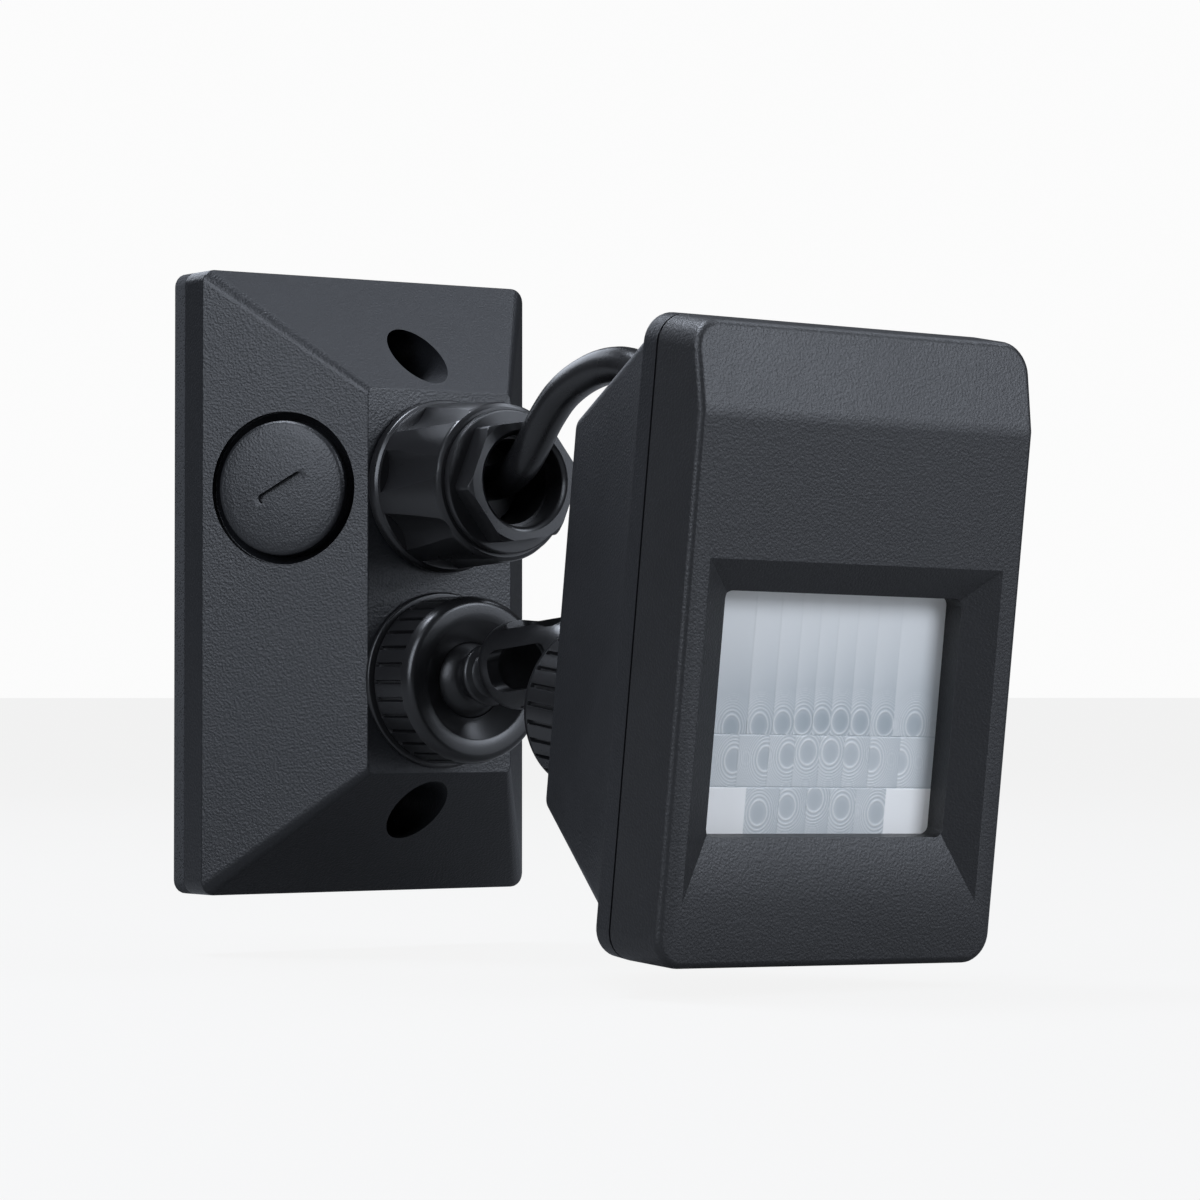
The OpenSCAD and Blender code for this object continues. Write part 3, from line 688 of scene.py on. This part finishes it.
def finer(points, times=2):
    """Points between the route's own, on a smooth curve through them."""
    points = [Vector((0, y, z)) for y, z in points]
    for _ in range(times):
        out = [points[0]]
        for i in range(len(points) - 1):
            a, b = points[max(i - 1, 0)], points[i]
            c, d = points[i + 1], points[min(i + 2, len(points) - 1)]
            out += [(b + c) * 0.5625 - (a + d) * 0.0625, c]
        points = out
    return points


def make_lead():
    """One round lead in four lengths."""
    points = finer(LEAD_ROUTE)

    def nearest(y):
        return min(range(len(points)), key=lambda k: abs(points[k].y - y))

    stations = [-27.5, -76, -86, -97, -118]
    bends = [(-65, -76), (-76, -86), (-86, -97), (-97, -108)]
    names = ["lead_gland_end", "lead_rise", "lead_crown", "lead_head_end"]
    for i, name in enumerate(names):
        span = range(nearest(stations[i]), nearest(stations[i + 1]) + 1)
        clear()
        bpy.ops.mesh.primitive_circle_add(vertices=32, radius=LEAD_R, fill_type="NGON")
        obj = named(name)
        bpy.ops.object.mode_set(mode="EDIT")
        bpy.ops.mesh.select_mode(type="VERT")
        bpy.ops.mesh.select_all(action="SELECT")
        for _ in range(len(span) - 1):
            bpy.ops.mesh.extrude_region_move(TRANSFORM_OT_translate={"value": (0, 0, 1)})
        bpy.ops.mesh.select_all(action="SELECT")
        bpy.ops.mesh.normals_make_consistent(inside=False)
        bpy.ops.object.mode_set(mode="OBJECT")
        for v in obj.data.vertices:
            k = span[round(v.co.z)]
            along = (points[min(k + 1, len(points) - 1)] - points[max(k - 1, 0)]).normalized()
            across = Vector((1, 0, 0))
            v.co = points[k] + across * v.co.x + along.cross(across) * -v.co.y
        only(obj)
        bpy.ops.object.mode_set(mode="EDIT")
        bpy.ops.mesh.select_all(action="SELECT")
        bpy.ops.mesh.normals_make_consistent(inside=False)
        moved(obj, UNIT)
        only(obj)
        bpy.ops.object.shade_smooth_by_angle(angle=radians(50))
        obj.data.materials.append(LEAD_RUBBER)
        start, end = (points[nearest(y)] for y in bends[i])
        tuple(start * 0.001)
        tuple(end * 0.001)
        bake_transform(obj)
        if i == 0:
            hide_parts("lead_cable")
    clear()


# ---------------------------------------------------------------- arm and locking collars

def ball_arc(r, out_from, out_to, steps):
    """Profile points on a ball round the point where the hubs' balls sit."""
    a, b = (asin(max(-1, min(1, (out - BALL_OUT) / r))) for out in (out_from, out_to))
    return [[r * cos(a + (b - a) * i / steps), BALL_OUT + r * sin(a + (b - a) * i / steps)]
            for i in range(steps + 1)]


def hub_profile():
    """The threaded outlet that a ball joint sits in; the wall and the head have the same one."""
    return ([[BORE_R - 0.2, -5.2], [TUBE_R, -5.2], [TUBE_R, 0.02], [15.8, 0.02], [16, 0.25], [16, 0.8],
             [15.85, 1.05], [15.5, 1.15], [11.6, 1.15], [11.6, 7.8], [11.45, 8.2], [11.1, 8.4],
             [9.65, 8.4], [9.65, 0.9], [7.4, 0.9], [7.4, -3.2]])


RIDGE_R, GROOVE_R = 15.1, 14.35


def make_collar(name, place, body, node):
    """Locking ring: thirty ridges round it and a dished front that holds the ball."""
    lip = ball_arc(BALL_R + 0.1, 8.7, 9.5, 3)
    profile = [[11.65, 1.3], [14.5, 1.3], [14.85, 1.42], [RIDGE_R, 1.8], [RIDGE_R, 10.6], [15.05, 10.9],
               [14.75, 11.9], [14.4, 12.5], [13.9, 12.92], [13.4, 13], [12.2, 13], [11.0, 12.95],
               [10.6, 12.8], [7.0, 10.45], [6.85, 10.3], [6.9, 9.9]] + lip[::-1] + [[11.65, 8.7]]
    ring = turned(name, profile, 240, True)

    def groove(face):
        c = face.calc_center_median()
        column = int(round((degrees(atan2(c.z, c.x)) % 360) / 1.5 - 0.5)) % 8
        return hypot(c.x, c.z) > 14.9 and 1.8 < -c.y < 10.7 and column in (0, 1)

    pick(ring, groove)
    bpy.ops.mesh.inset(thickness=0.12, use_boundary=True)
    depth = GROOVE_R / RIDGE_R
    bpy.ops.transform.resize(value=(depth, 1, depth), center_override=(0, 0, 0))
    done(ring)
    soften(ring, 0.1, 2, 32)
    fit(ring, place, GLAND_BLACK, body, node, slot="gland_plastic", smooth=32)


def make_hub():
    hub = turned("arm_hub_body", hub_profile(), 96, True)
    soften(hub, 0.12, 2, 40)
    fit(hub, AT_ARM_HUB, ARM_BLACK, "wall_unit", "arm_hub", slot="gland_plastic")


def make_seat(name, place, body, node):
    """The ring that a ball turns in."""
    back = [[9.4, 1], [9.6, 1.2], [9.6, 8], [9.4, 8.2]]
    seat = turned(name, back + ball_arc(BALL_R + 0.05, 8.2, 1, 14), 96, True)
    fit(seat, place, SEAT_BLACK, body, node, slot="seat_plastic")


def make_arm():
    """The arm: a ball at each end and an open cage between them."""
    def ball(name, neck, angle, centre):
        steps = 40
        profile = [[0.05 + (BALL_R * sin(pi * (i + 0.15) / steps)), BALL_R * -cos(pi * (i + 0.15) / steps)]
                   for i in range(steps)]
        root = neck[0] + 0.5
        cropped = [p for p in profile if not (p[1] > 0 and p[0] < root)]
        out_at = (BALL_R ** 2 - root ** 2) ** 0.5
        cropped += [[root, out_at], [neck[0] + 0.12, out_at + 0.15], [neck[0], out_at + 0.5], neck]
        obj = turned(name, cropped, 96)
        return moved(obj, Matrix.Translation(centre) @ Matrix.Rotation(angle, 4, "X"))

    fit(ball("wall_ball_end", [4.1, 10.2], 0, (0, 0, 0)), IN_ARM, ARM_BLACK, "arm", "wall_ball",
        slot="arm_plastic")
    neck_slope = atan2(7.1, 11.3)
    fit(ball("head_ball_end", [3.6, 9], neck_slope + pi, (0, -50.3, -9.4)), IN_ARM, ARM_BLACK, "arm",
        "head_ball", slot="arm_plastic")

    cage = turned("caged_arm", [
        [1, 17.4], [4.4, 17.4], [5.6, 17.6], [6.6, 18.0], [7.3, 18.7], [7.75, 19.6], [7.9, 20.8],
        [7.9, 33], [7.75, 35], [7.4, 36.5], [6.9, 38.6], [6.2, 40.5], [5.4, 42], [4.4, 43]], 96)
    cut(cage, turned("core", [
        [1, 21.4], [4.9, 21.4], [5.4, 22], [5.8, 24], [5.8, 33], [5.2, 36.5], [4.4, 38], [1, 38]], 64))
    for i in (1, 2, 3):
        window = block("window", (2, -39, -3.8), (12, -22.4, 3.8))
        round_edges(window, lambda e: abs(e.verts[0].co.y - e.verts[1].co.y) < 1e-4
                    and abs(e.verts[0].co.z - e.verts[1].co.z) < 1e-4, 2.2, 6)
        cut(cage, moved(window, Matrix.Rotation(radians(i * 90 + ARM_ROLL), 4, "Y")))
    moved(cage, Matrix.Translation((0, 0, CAGE_LIFT)))
    neck = turned("neck", [[5.1, 10.2], [5.45, 10.35], [5.6, 10.8], [5.5, 11.3], [5.2, 11.6], [4.3, 12.0],
                           [3.85, 12.8], [3.7, 15], [3.85, 16.6], [4.2, 18.6]], 64)
    branch = turned("branch", [[3.7, 0], [3.7, 13.35 - 9]], 64)
    at_branch = Matrix.Translation((0, -39, -2.3)) @ Matrix.Rotation(neck_slope, 4, "X")
    joined(cage, neck, moved(branch, at_branch))
    soften(cage, 0.35, 3, 35)
    fit(cage, IN_ARM, ARM_BLACK, "arm", "arm_cage", slot="arm_plastic")


# ---------------------------------------------------------------- sensor head

def head_block(name, y0, y1, half_w, top, bottom, corner, segments=10):
    """A box of the head, with its long corners rounded."""
    obj = block(name, (-half_w, y0, bottom), (half_w, y1, top))
    return round_edges(obj, along_y, corner, segments)


def brow(obj, inset):
    """Planes the upper front back to its crease."""
    pick(obj, lambda f: True)
    slope = atan2(3.5, 14.6)
    bpy.ops.mesh.bisect(plane_co=(0, inset, CREASE_Z), plane_no=(0, -cos(slope), sin(slope)),
                        use_fill=True, clear_outer=True)
    return done(obj)


def bezel_block(name, inset):
    """The front shell's form, or with an inset the hollow inside it."""
    obj = head_block(name, inset, BEZEL_D + (0.01 if inset else 0), HEAD_HALF_W - inset, HEAD_TOP - inset,
                     HEAD_BOTTOM + inset, HEAD_CORNER - inset)
    middle = (0, 0, (HEAD_TOP + HEAD_BOTTOM) / 2)
    half_h = (HEAD_TOP - HEAD_BOTTOM) / 2
    draft = ((HEAD_HALF_W - DRAFT) / HEAD_HALF_W, 1, (half_h - DRAFT) / half_h)
    squeeze(obj, lambda f: f.normal.y < -0.9, draft, middle)
    brow(obj, inset)
    if not inset:
        def front_rim(edge):
            kinds = [f.normal.y for f in edge.link_faces]
            return len(kinds) == 2 and min(kinds) < -0.9 and max(kinds) > -0.5
        round_edges(obj, front_rim, 1.2, 5)

        def crease(edge):
            a, b = (v.co for v in edge.verts)
            return abs(a.z - CREASE_Z) < 0.4 and abs(b.z - CREASE_Z) < 0.4 and abs(a.x - b.x) > 20
        round_edges(obj, crease, 1.1, 4)
    return obj


def frustum(name, y0, half0, y1, half1):
    """A tapered cutter between two rectangles; half is [half width, top, bottom]."""
    obj = block(name, (-half0[0], y0, half0[2]), (half0[0], y1, half0[1]))
    mid0, mid1 = (half0[1] + half0[2]) / 2, (half1[1] + half1[2]) / 2
    pick(obj, lambda f: f.normal.y > 0.9)
    size = (half1[0] / half0[0], 1, (half1[1] - half1[2]) / (half0[1] - half0[2]))
    bpy.ops.transform.resize(value=size, center_override=(0, 0, mid0))
    bpy.ops.transform.translate(value=(0, 0, mid1 - mid0))
    return done(obj)


def make_bezel():
    """The front shell, with the hopper and the window for the lens."""
    bezel = bezel_block("bezel", 0)
    cut(bezel, bezel_block("hollow", SHELL_WALL))
    joined(bezel, block("back_of_hopper", (-HOPPER_HALF_W - 1, 1.5, HOPPER_BOTTOM - 1),
                        (HOPPER_HALF_W + 1, 4.6, HOPPER_TOP + 1)))
    tube = block("window_tube", (-WINDOW_W - 2, 4, WINDOW_BOTTOM - 2), (WINDOW_W + 2, LENS_Y, WINDOW_TOP + 2))
    joined(bezel, round_edges(tube, along_y, 3, 5))
    mouth, throat = (HOPPER_HALF_W, HOPPER_TOP, HOPPER_BOTTOM), (WINDOW_W, WINDOW_TOP, WINDOW_BOTTOM)
    slopes = [(m - t) / HOPPER_D for m, t in zip(mouth, throat)]
    cut(bezel, frustum("hopper", -1, [m + k for m, k in zip(mouth, slopes)],
                       HOPPER_D + 0.5, [t - k / 2 for t, k in zip(throat, slopes)]))
    window = block("window", (-WINDOW_W, -2, WINDOW_BOTTOM), (WINDOW_W, LENS_Y + 2, WINDOW_TOP))
    cut(bezel, round_edges(window, along_y, 1.4, 5))
    soften(bezel, 0.3, 3, 20)
    fit(bezel, IN_HEAD, HEAD_BLACK, "head", "front_bezel", slot="head_plastic", smooth=22)


def body_block(name, inset):
    """The rear housing's box: straight for a while, then drawn in to the back."""
    obj = head_block(name, BEZEL_D + SEAM - (0.01 if inset else 0), BODY_STRAIGHT, BODY_HALF_W - inset,
                     BODY_TOP - inset, BODY_BOTTOM + inset, BODY_CORNER - inset * 0.8, 6)
    back = HEAD_D - inset
    half_h, back_half_h = (BODY_TOP - BODY_BOTTOM) / 2 - inset, (BACK_TOP - BACK_BOTTOM) / 2 - inset
    size = ((BACK_HALF_W - inset * 0.9) / (BODY_HALF_W - inset), 1, back_half_h / half_h)
    middle, back_middle = (BODY_TOP + BODY_BOTTOM) / 2, (BACK_TOP + BACK_BOTTOM) / 2
    push(obj, lambda f: f.normal.y > 0.9, (0, back - BODY_STRAIGHT, 0), size, (0, back, middle))
    pick(obj, lambda f: f.normal.y > 0.9)
    bpy.ops.transform.translate(value=(0, 0, back_middle - middle))
    return done(obj)


def dial_place(x):
    """The place of a dial in the sloping underside."""
    rise, run = BACK_BOTTOM - BODY_BOTTOM, HEAD_D - BODY_STRAIGHT
    return (Matrix.Translation((x, DIAL_Y, BACK_BOTTOM - (HEAD_D - DIAL_Y) * rise / run))
            @ Matrix.Rotation(pi - atan2(rise, run), 4, "X"))


def make_housing():
    """The rear shell, with its wells, sockets and the way in for the lead."""
    housing = body_block("housing", 0)
    soften(housing, 0.9, 3, 12)
    flange = head_block("flange", BEZEL_D + SEAM, FLANGE_BACK, HEAD_HALF_W, HEAD_TOP, HEAD_BOTTOM,
                        HEAD_CORNER)

    def back_rim(edge):
        kinds = [f.normal.y for f in edge.link_faces]
        return max(kinds) > 0.9 and min(kinds) < 0.5
    round_edges(flange, back_rim, 0.7, 3)
    joined(housing, flange)
    cut(housing, body_block("hollow", SHELL_WALL))
    for x, z in SCREWS:
        post = rod("post", 5, -HEAD_D, -BEZEL_D - SEAM, x, z)
        cut(post, body_block("trim", 0.02), operation="INTERSECT")
        joined(housing, post)
    for x in (-DIAL_X, DIAL_X):
        wall = moved(upright("dial_wall", 6, -5, 3), dial_place(x))
        cut(wall, body_block("trim", 0.02), operation="INTERSECT")
        joined(housing, wall)
    hub = turned("hub", hub_profile(), 96, True)
    at_hub = Matrix.Translation((0, HEAD_D, HUB_Z)) @ Matrix.Rotation(pi, 4, "Z")
    cut(housing, moved(rod("hub_way", TUBE_R - 0.4, -9, 2, sides=64), at_hub))
    joined(housing, moved(hub, at_hub))
    for x, z in SCREWS:
        cut(housing, rod("screw_well", 3.2, -HEAD_D - 1, -SCREW_SEAT, x, z),
            rod("screw_way", 1.7, -19, -BEZEL_D, x, z))
    for x in (-DIAL_X, DIAL_X):
        cut(housing, moved(upright("dial_well", 4.5, -2.4, 6), dial_place(x)),
            moved(upright("dial_way", 1.3, -9, 0, 32), dial_place(x)))
    way = upright("lead_way", 5, -20, 20)
    cut(housing, moved(way, IN_HEAD.inverted() @ UNIT @ Matrix.Translation(GROMMET)
                       @ Matrix.Rotation(LEAD_IN_SLOPE, 4, "X")))
    soften(housing, 0.18, 2, 40)
    fit(housing, IN_HEAD, BLACK, "head", "rear_housing", slot="head_plastic", smooth=25)


def make_grommet():
    ring = turned("lead_grommet", [[3.25, 8], [4, 8], [4.5, 5.2], [4.9, 2.2], [4.9, -6], [3.25, -6]],
                  64, True)
    soften(ring, 0.3, 3, 25)
    turn = Matrix.Rotation(LEAD_IN_SLOPE + pi / 2, 4, "X")
    fit(ring, UNIT @ Matrix.Translation(GROMMET) @ turn, SEAL_RUBBER, "head", "cable_grommet",
        slot="seal_rubber")


# Each lens row in fractions of the window: its lower edge, its panel edges, and the ring centres
# across and down
LENS_ROWS = [
    (0.593, [0, 0.195, 0.303, 0.389, 0.468, 0.546, 0.628, 0.716, 0.816, 1],
     [0.130, 0.245, 0.341, 0.426, 0.505, 0.585, 0.671, 0.777, 0.906],
     [0.566, 0.556, 0.546, 0.536, 0.532, 0.533, 0.536, 0.540, 0.543]),
    (0.809, [0, 0.169, 0.294, 0.401, 0.508, 0.611, 0.721, 0.851, 1],
     [0.151, 0.284, 0.376, 0.459, 0.555, 0.642, 0.736, 0.856],
     [0.700, 0.692, 0.678, 0.663, 0.661, 0.672, 0.690, 0.700]),
    (1.2, [0.214, 0.355, 0.470, 0.569, 0.678, 0.809],
     [0.271, 0.389, 0.504, 0.622, 0.773], [0.915, 0.890, 0.859, 0.893, 0.914])]
EYE_R, RING_STEP = 1.35, 2.5
GROOVE_DEPTH = 0.07


def lens_point(x, z):
    """Ring height, tone with painted light and shade, and step back of one point of the lens sheet."""
    across = min(max(x / WINDOW_W / 2 + 0.5, 0), 0.999)
    down = (WINDOW_TOP - z) / (WINDOW_TOP - WINDOW_BOTTOM)
    bottom, edges, centres, drops = next(row for row in LENS_ROWS if down < row[0])
    panel = next((i for i in range(len(edges) - 1) if edges[i] <= across < edges[i + 1]), None)
    # Outside the panels the sheet is painted pale, a painted light that makes up for the shade low in the
    # window.
    if panel is None:
        return 0.0, 0.95, 0.0
    tall = bottom == LENS_ROWS[0][0]
    lean = (across - edges[panel]) / (edges[panel + 1] - edges[panel])
    dx = (across - centres[panel]) * 2 * WINDOW_W
    dz = (down - drops[panel]) * (WINDOW_TOP - WINDOW_BOTTOM) * 0.85
    d = hypot(dx, dz)
    zone = (d * d - EYE_R ** 2) / RING_STEP
    fade = max(0.0, 1 - d / (4.8 if tall else 6.2))
    line = max(0.0, 1 - abs(zone % 1 - 0.5) / 0.3) * fade ** 0.6 if zone > 0 else 0.0
    # The eye centres are painted a little darker: painted shade.
    tone = 0.62 - 0.04 * max(0.0, 1 - (d / EYE_R) ** 4)
    # The top row is painted paler towards its top, away from the eyes, and darker towards each panel's right
    # side low down: painted light and shade.
    if tall:
        tone = 0.82 - (0.82 - tone) * min(1, max(0.0, 1.08 - d / 13)) ** 1.4
        tone -= 0.09 * lean * min(1, max(0.0, down) * 2.2)
    else:
        # The other rows are painted lighter towards each panel's left side: painted light and shade.
        tone += 0.05 * (1 - lean)
    # Painted highlights along the ring lines.
    tone += 0.24 * line
    step = 0.06 * lean
    # A painted shade line where one row steps down to the next.
    if min(abs(down - row[0]) for row in LENS_ROWS) < 0.0035:
        tone, step = tone - 0.08, 0.1
    return line, tone, step


def make_lens():
    """The lens sheet: three rows of panels, each with its own set of fine ring grooves."""
    half_w, top, bottom = WINDOW_W + LENS_GROW, WINDOW_TOP + LENS_GROW, WINDOW_BOTTOM - LENS_GROW
    clear()
    bpy.ops.mesh.primitive_grid_add(x_subdivisions=320, y_subdivisions=256, size=1,
                                    location=(0, 0, 0), rotation=(pi / 2, 0, 0))
    sheet = named("fresnel_sheet")
    mesh = sheet.data
    ring = mesh.attributes.new("ring", "FLOAT", "POINT")
    shade = mesh.attributes.new("shade", "FLOAT", "POINT")
    rings, shades = [], []
    for v in mesh.vertices:
        x, z = v.co.x * 2 * half_w, v.co.z * (top - bottom) + (top + bottom) / 2
        # tone carries the lens colour with its painted light and shade.
        height, tone, step = lens_point(x, z)
        rings.append(height)
        shades.append(tone)
        v.co = (x, LENS_Y + 0.02 + step + (1 - height) * GROOVE_DEPTH, z)
    ring.data.foreach_set("value", rings)
    shade.data.foreach_set("value", shades)
    only(sheet)
    bpy.ops.object.mode_set(mode="EDIT")
    bpy.ops.mesh.select_all(action="SELECT")
    bpy.ops.mesh.normals_make_consistent(inside=False)
    bpy.ops.object.mode_set(mode="OBJECT")
    if sheet.data.polygons[0].normal.y > 0:
        sheet.data.flip_normals()
    solid = sheet.modifiers.new("thickness", "SOLIDIFY")
    solid.thickness, solid.offset = LENS_T, -1
    only(sheet)
    bpy.ops.object.modifier_apply(modifier=solid.name)
    fit(sheet, IN_HEAD, LENS, "head", "fresnel_lens", slot="lens", smooth=30)


def make_screws():
    for i, (x, z) in enumerate(SCREWS):
        screw = turned(f"housing_screw_{i + 1}", [
            [1.4, -6], [1.4, -SCREW_SEAT], [2.7, -SCREW_SEAT], [2.8, -18.6], [2.7, -19.6], [2.3, -20.1],
            [1.2, -20.35]], 48)
        cut(screw, block("slot", (-2, 19.5, -0.4), (2, 21, 0.4)),
            block("slot", (-0.4, 19.5, -2), (0.4, 21, 2)))
        soften(screw, 0.08, 2, 35)
        moved(screw, Matrix.Translation((x, 0, z)))
        fit(screw, IN_HEAD, STEEL, "head", *(["housing_screws"] if i == 0 else []), slot="screw_steel")


def make_dials():
    for x, name, node in ((-DIAL_X, "time_knob", "time_dial"), (DIAL_X, "light_knob", "light_dial")):
        knob = turned(name, [[1.2, 8], [1.2, 2.2], [4.0, 2.2], [4.2, 2.0], [4.2, 0.1], [4.0, -0.15],
                             [3.6, -0.2]], 64)
        cut(knob, block("slot", (-3, -2, -0.5), (3, 0.7, 0.5)))
        tip = block("tip", (-0.5, -2, -1.3), (3.2, 0.35, 1.3))
        pick(tip, lambda f: f.normal.x > 0.9)
        bpy.ops.transform.resize(value=(1, 1, 0.1), center_override=(3.2, 0, 0))
        cut(knob, done(tip))
        soften(knob, 0.1, 2, 35)
        turn = Matrix.Rotation(pi / 2, 4, "X")
        fit(knob, IN_HEAD @ dial_place(x) @ turn, DIAL, node, node, slot="dial_plastic")


NODE_FINISH = {
    "plug_seal": SEAL_RUBBER, "gland_locknut": ZINC, "arm_hub_locknut": ZINC, "terminal_block": IVORY,
    "cover_leads": WIRE, "housing_seal": SEAL_RUBBER, "lens_frame": FRAME_BLACK, "circuit_board": BOARD,
    "pyro_sensor": CAN, "light_sensor": CELL, "indicator_led": LED, "relay": RELAY,
    "mains_capacitor": CAPACITOR, "lead_header": IVORY, "board_leads": WIRE, "dial_shafts": DIAL_BODY,
}


def finish_nodes():
    for name, material in NODE_FINISH.items():
        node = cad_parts[name]
        node.data.materials.clear()
        node.data.materials.append(material)


def add_stage():
    """A pale floor, which the camera sees glowing nearly white."""
    clear()
    bpy.ops.mesh.primitive_plane_add(size=400, location=(0, 0, cad_box[0].z - 0.004))
    floor = named("floor")
    f = Finish("pale_floor", Roughness=0.8)
    f.set(Base_Color=f.tones(f.noise(3, 3), (0.3, (0.22, 0.22, 0.22)), (0.7, (0.25, 0.25, 0.25))))
    seen = f.tree.nodes.new("ShaderNodeLightPath").outputs["Is Camera Ray"]
    glow = f.node("ShaderNodeEmission", {}, {"Color": (1, 1, 1, 1), "Strength": 1.0})
    mix = f.node("ShaderNodeMixShader", {}, {
        0: Level(f, seen) * 0.88, 1: Level(f, f.shader.outputs[0]), 2: glow})
    f.join(f.tree.nodes["Material Output"].inputs["Surface"], mix)
    floor.data.materials.append(f.material)


add_camera()
add_surroundings()
add_stage()
add_soft_box("front_right", (0.40, -0.84, 0.38), 1.2, (0.6, 0.5), 8.4)
add_soft_box("front_low", (0.62, -0.80, -0.02), 1.5, (0.9, 0.5), 2.0)
add_soft_box("upper_right", (0.58, -0.15, 0.79), 1.2, (0.4, 0.3), 6.0)
add_soft_box("left", (-0.93, -0.33, 0.44), 1.0, (0.5, 0.7), 5.6)
add_soft_box("above", (0.35, 0.0, 0.94), 1.2, (0.9, 0.9), 0.9)
add_soft_box("over_left", (-0.2, 0.26, 0.90), 1.1, (0.45, 0.35), 22)
add_soft_box("behind", (0.02, 0.86, 0.48), 1.2, (0.8, 0.4), 2.6)
add_soft_box("front_left", (-0.3, -0.93, -0.2), 1.6, (0.5, 0.4), 1.4)
add_soft_box("rear_left", (-0.6, 0.8, 0.25), 1.3, (0.5, 0.8), 0.06)

make_cover()
make_gasket()
make_plug()
make_gland()
make_hub()
make_collar("wall_lock_ring", AT_ARM_HUB, "wall_collar", "wall_collar")
make_collar("head_lock_ring", AT_HEAD_HUB, "head_collar", "head_collar")
make_seat("wall_socket", AT_ARM_HUB, "wall_seat", "wall_ball_seat")
make_seat("head_socket", AT_HEAD_HUB, "head_seat", "head_ball_seat")
make_arm()
make_housing()
make_bezel()
make_lens()
make_grommet()
make_screws()
make_dials()
make_lead()
finish_nodes()
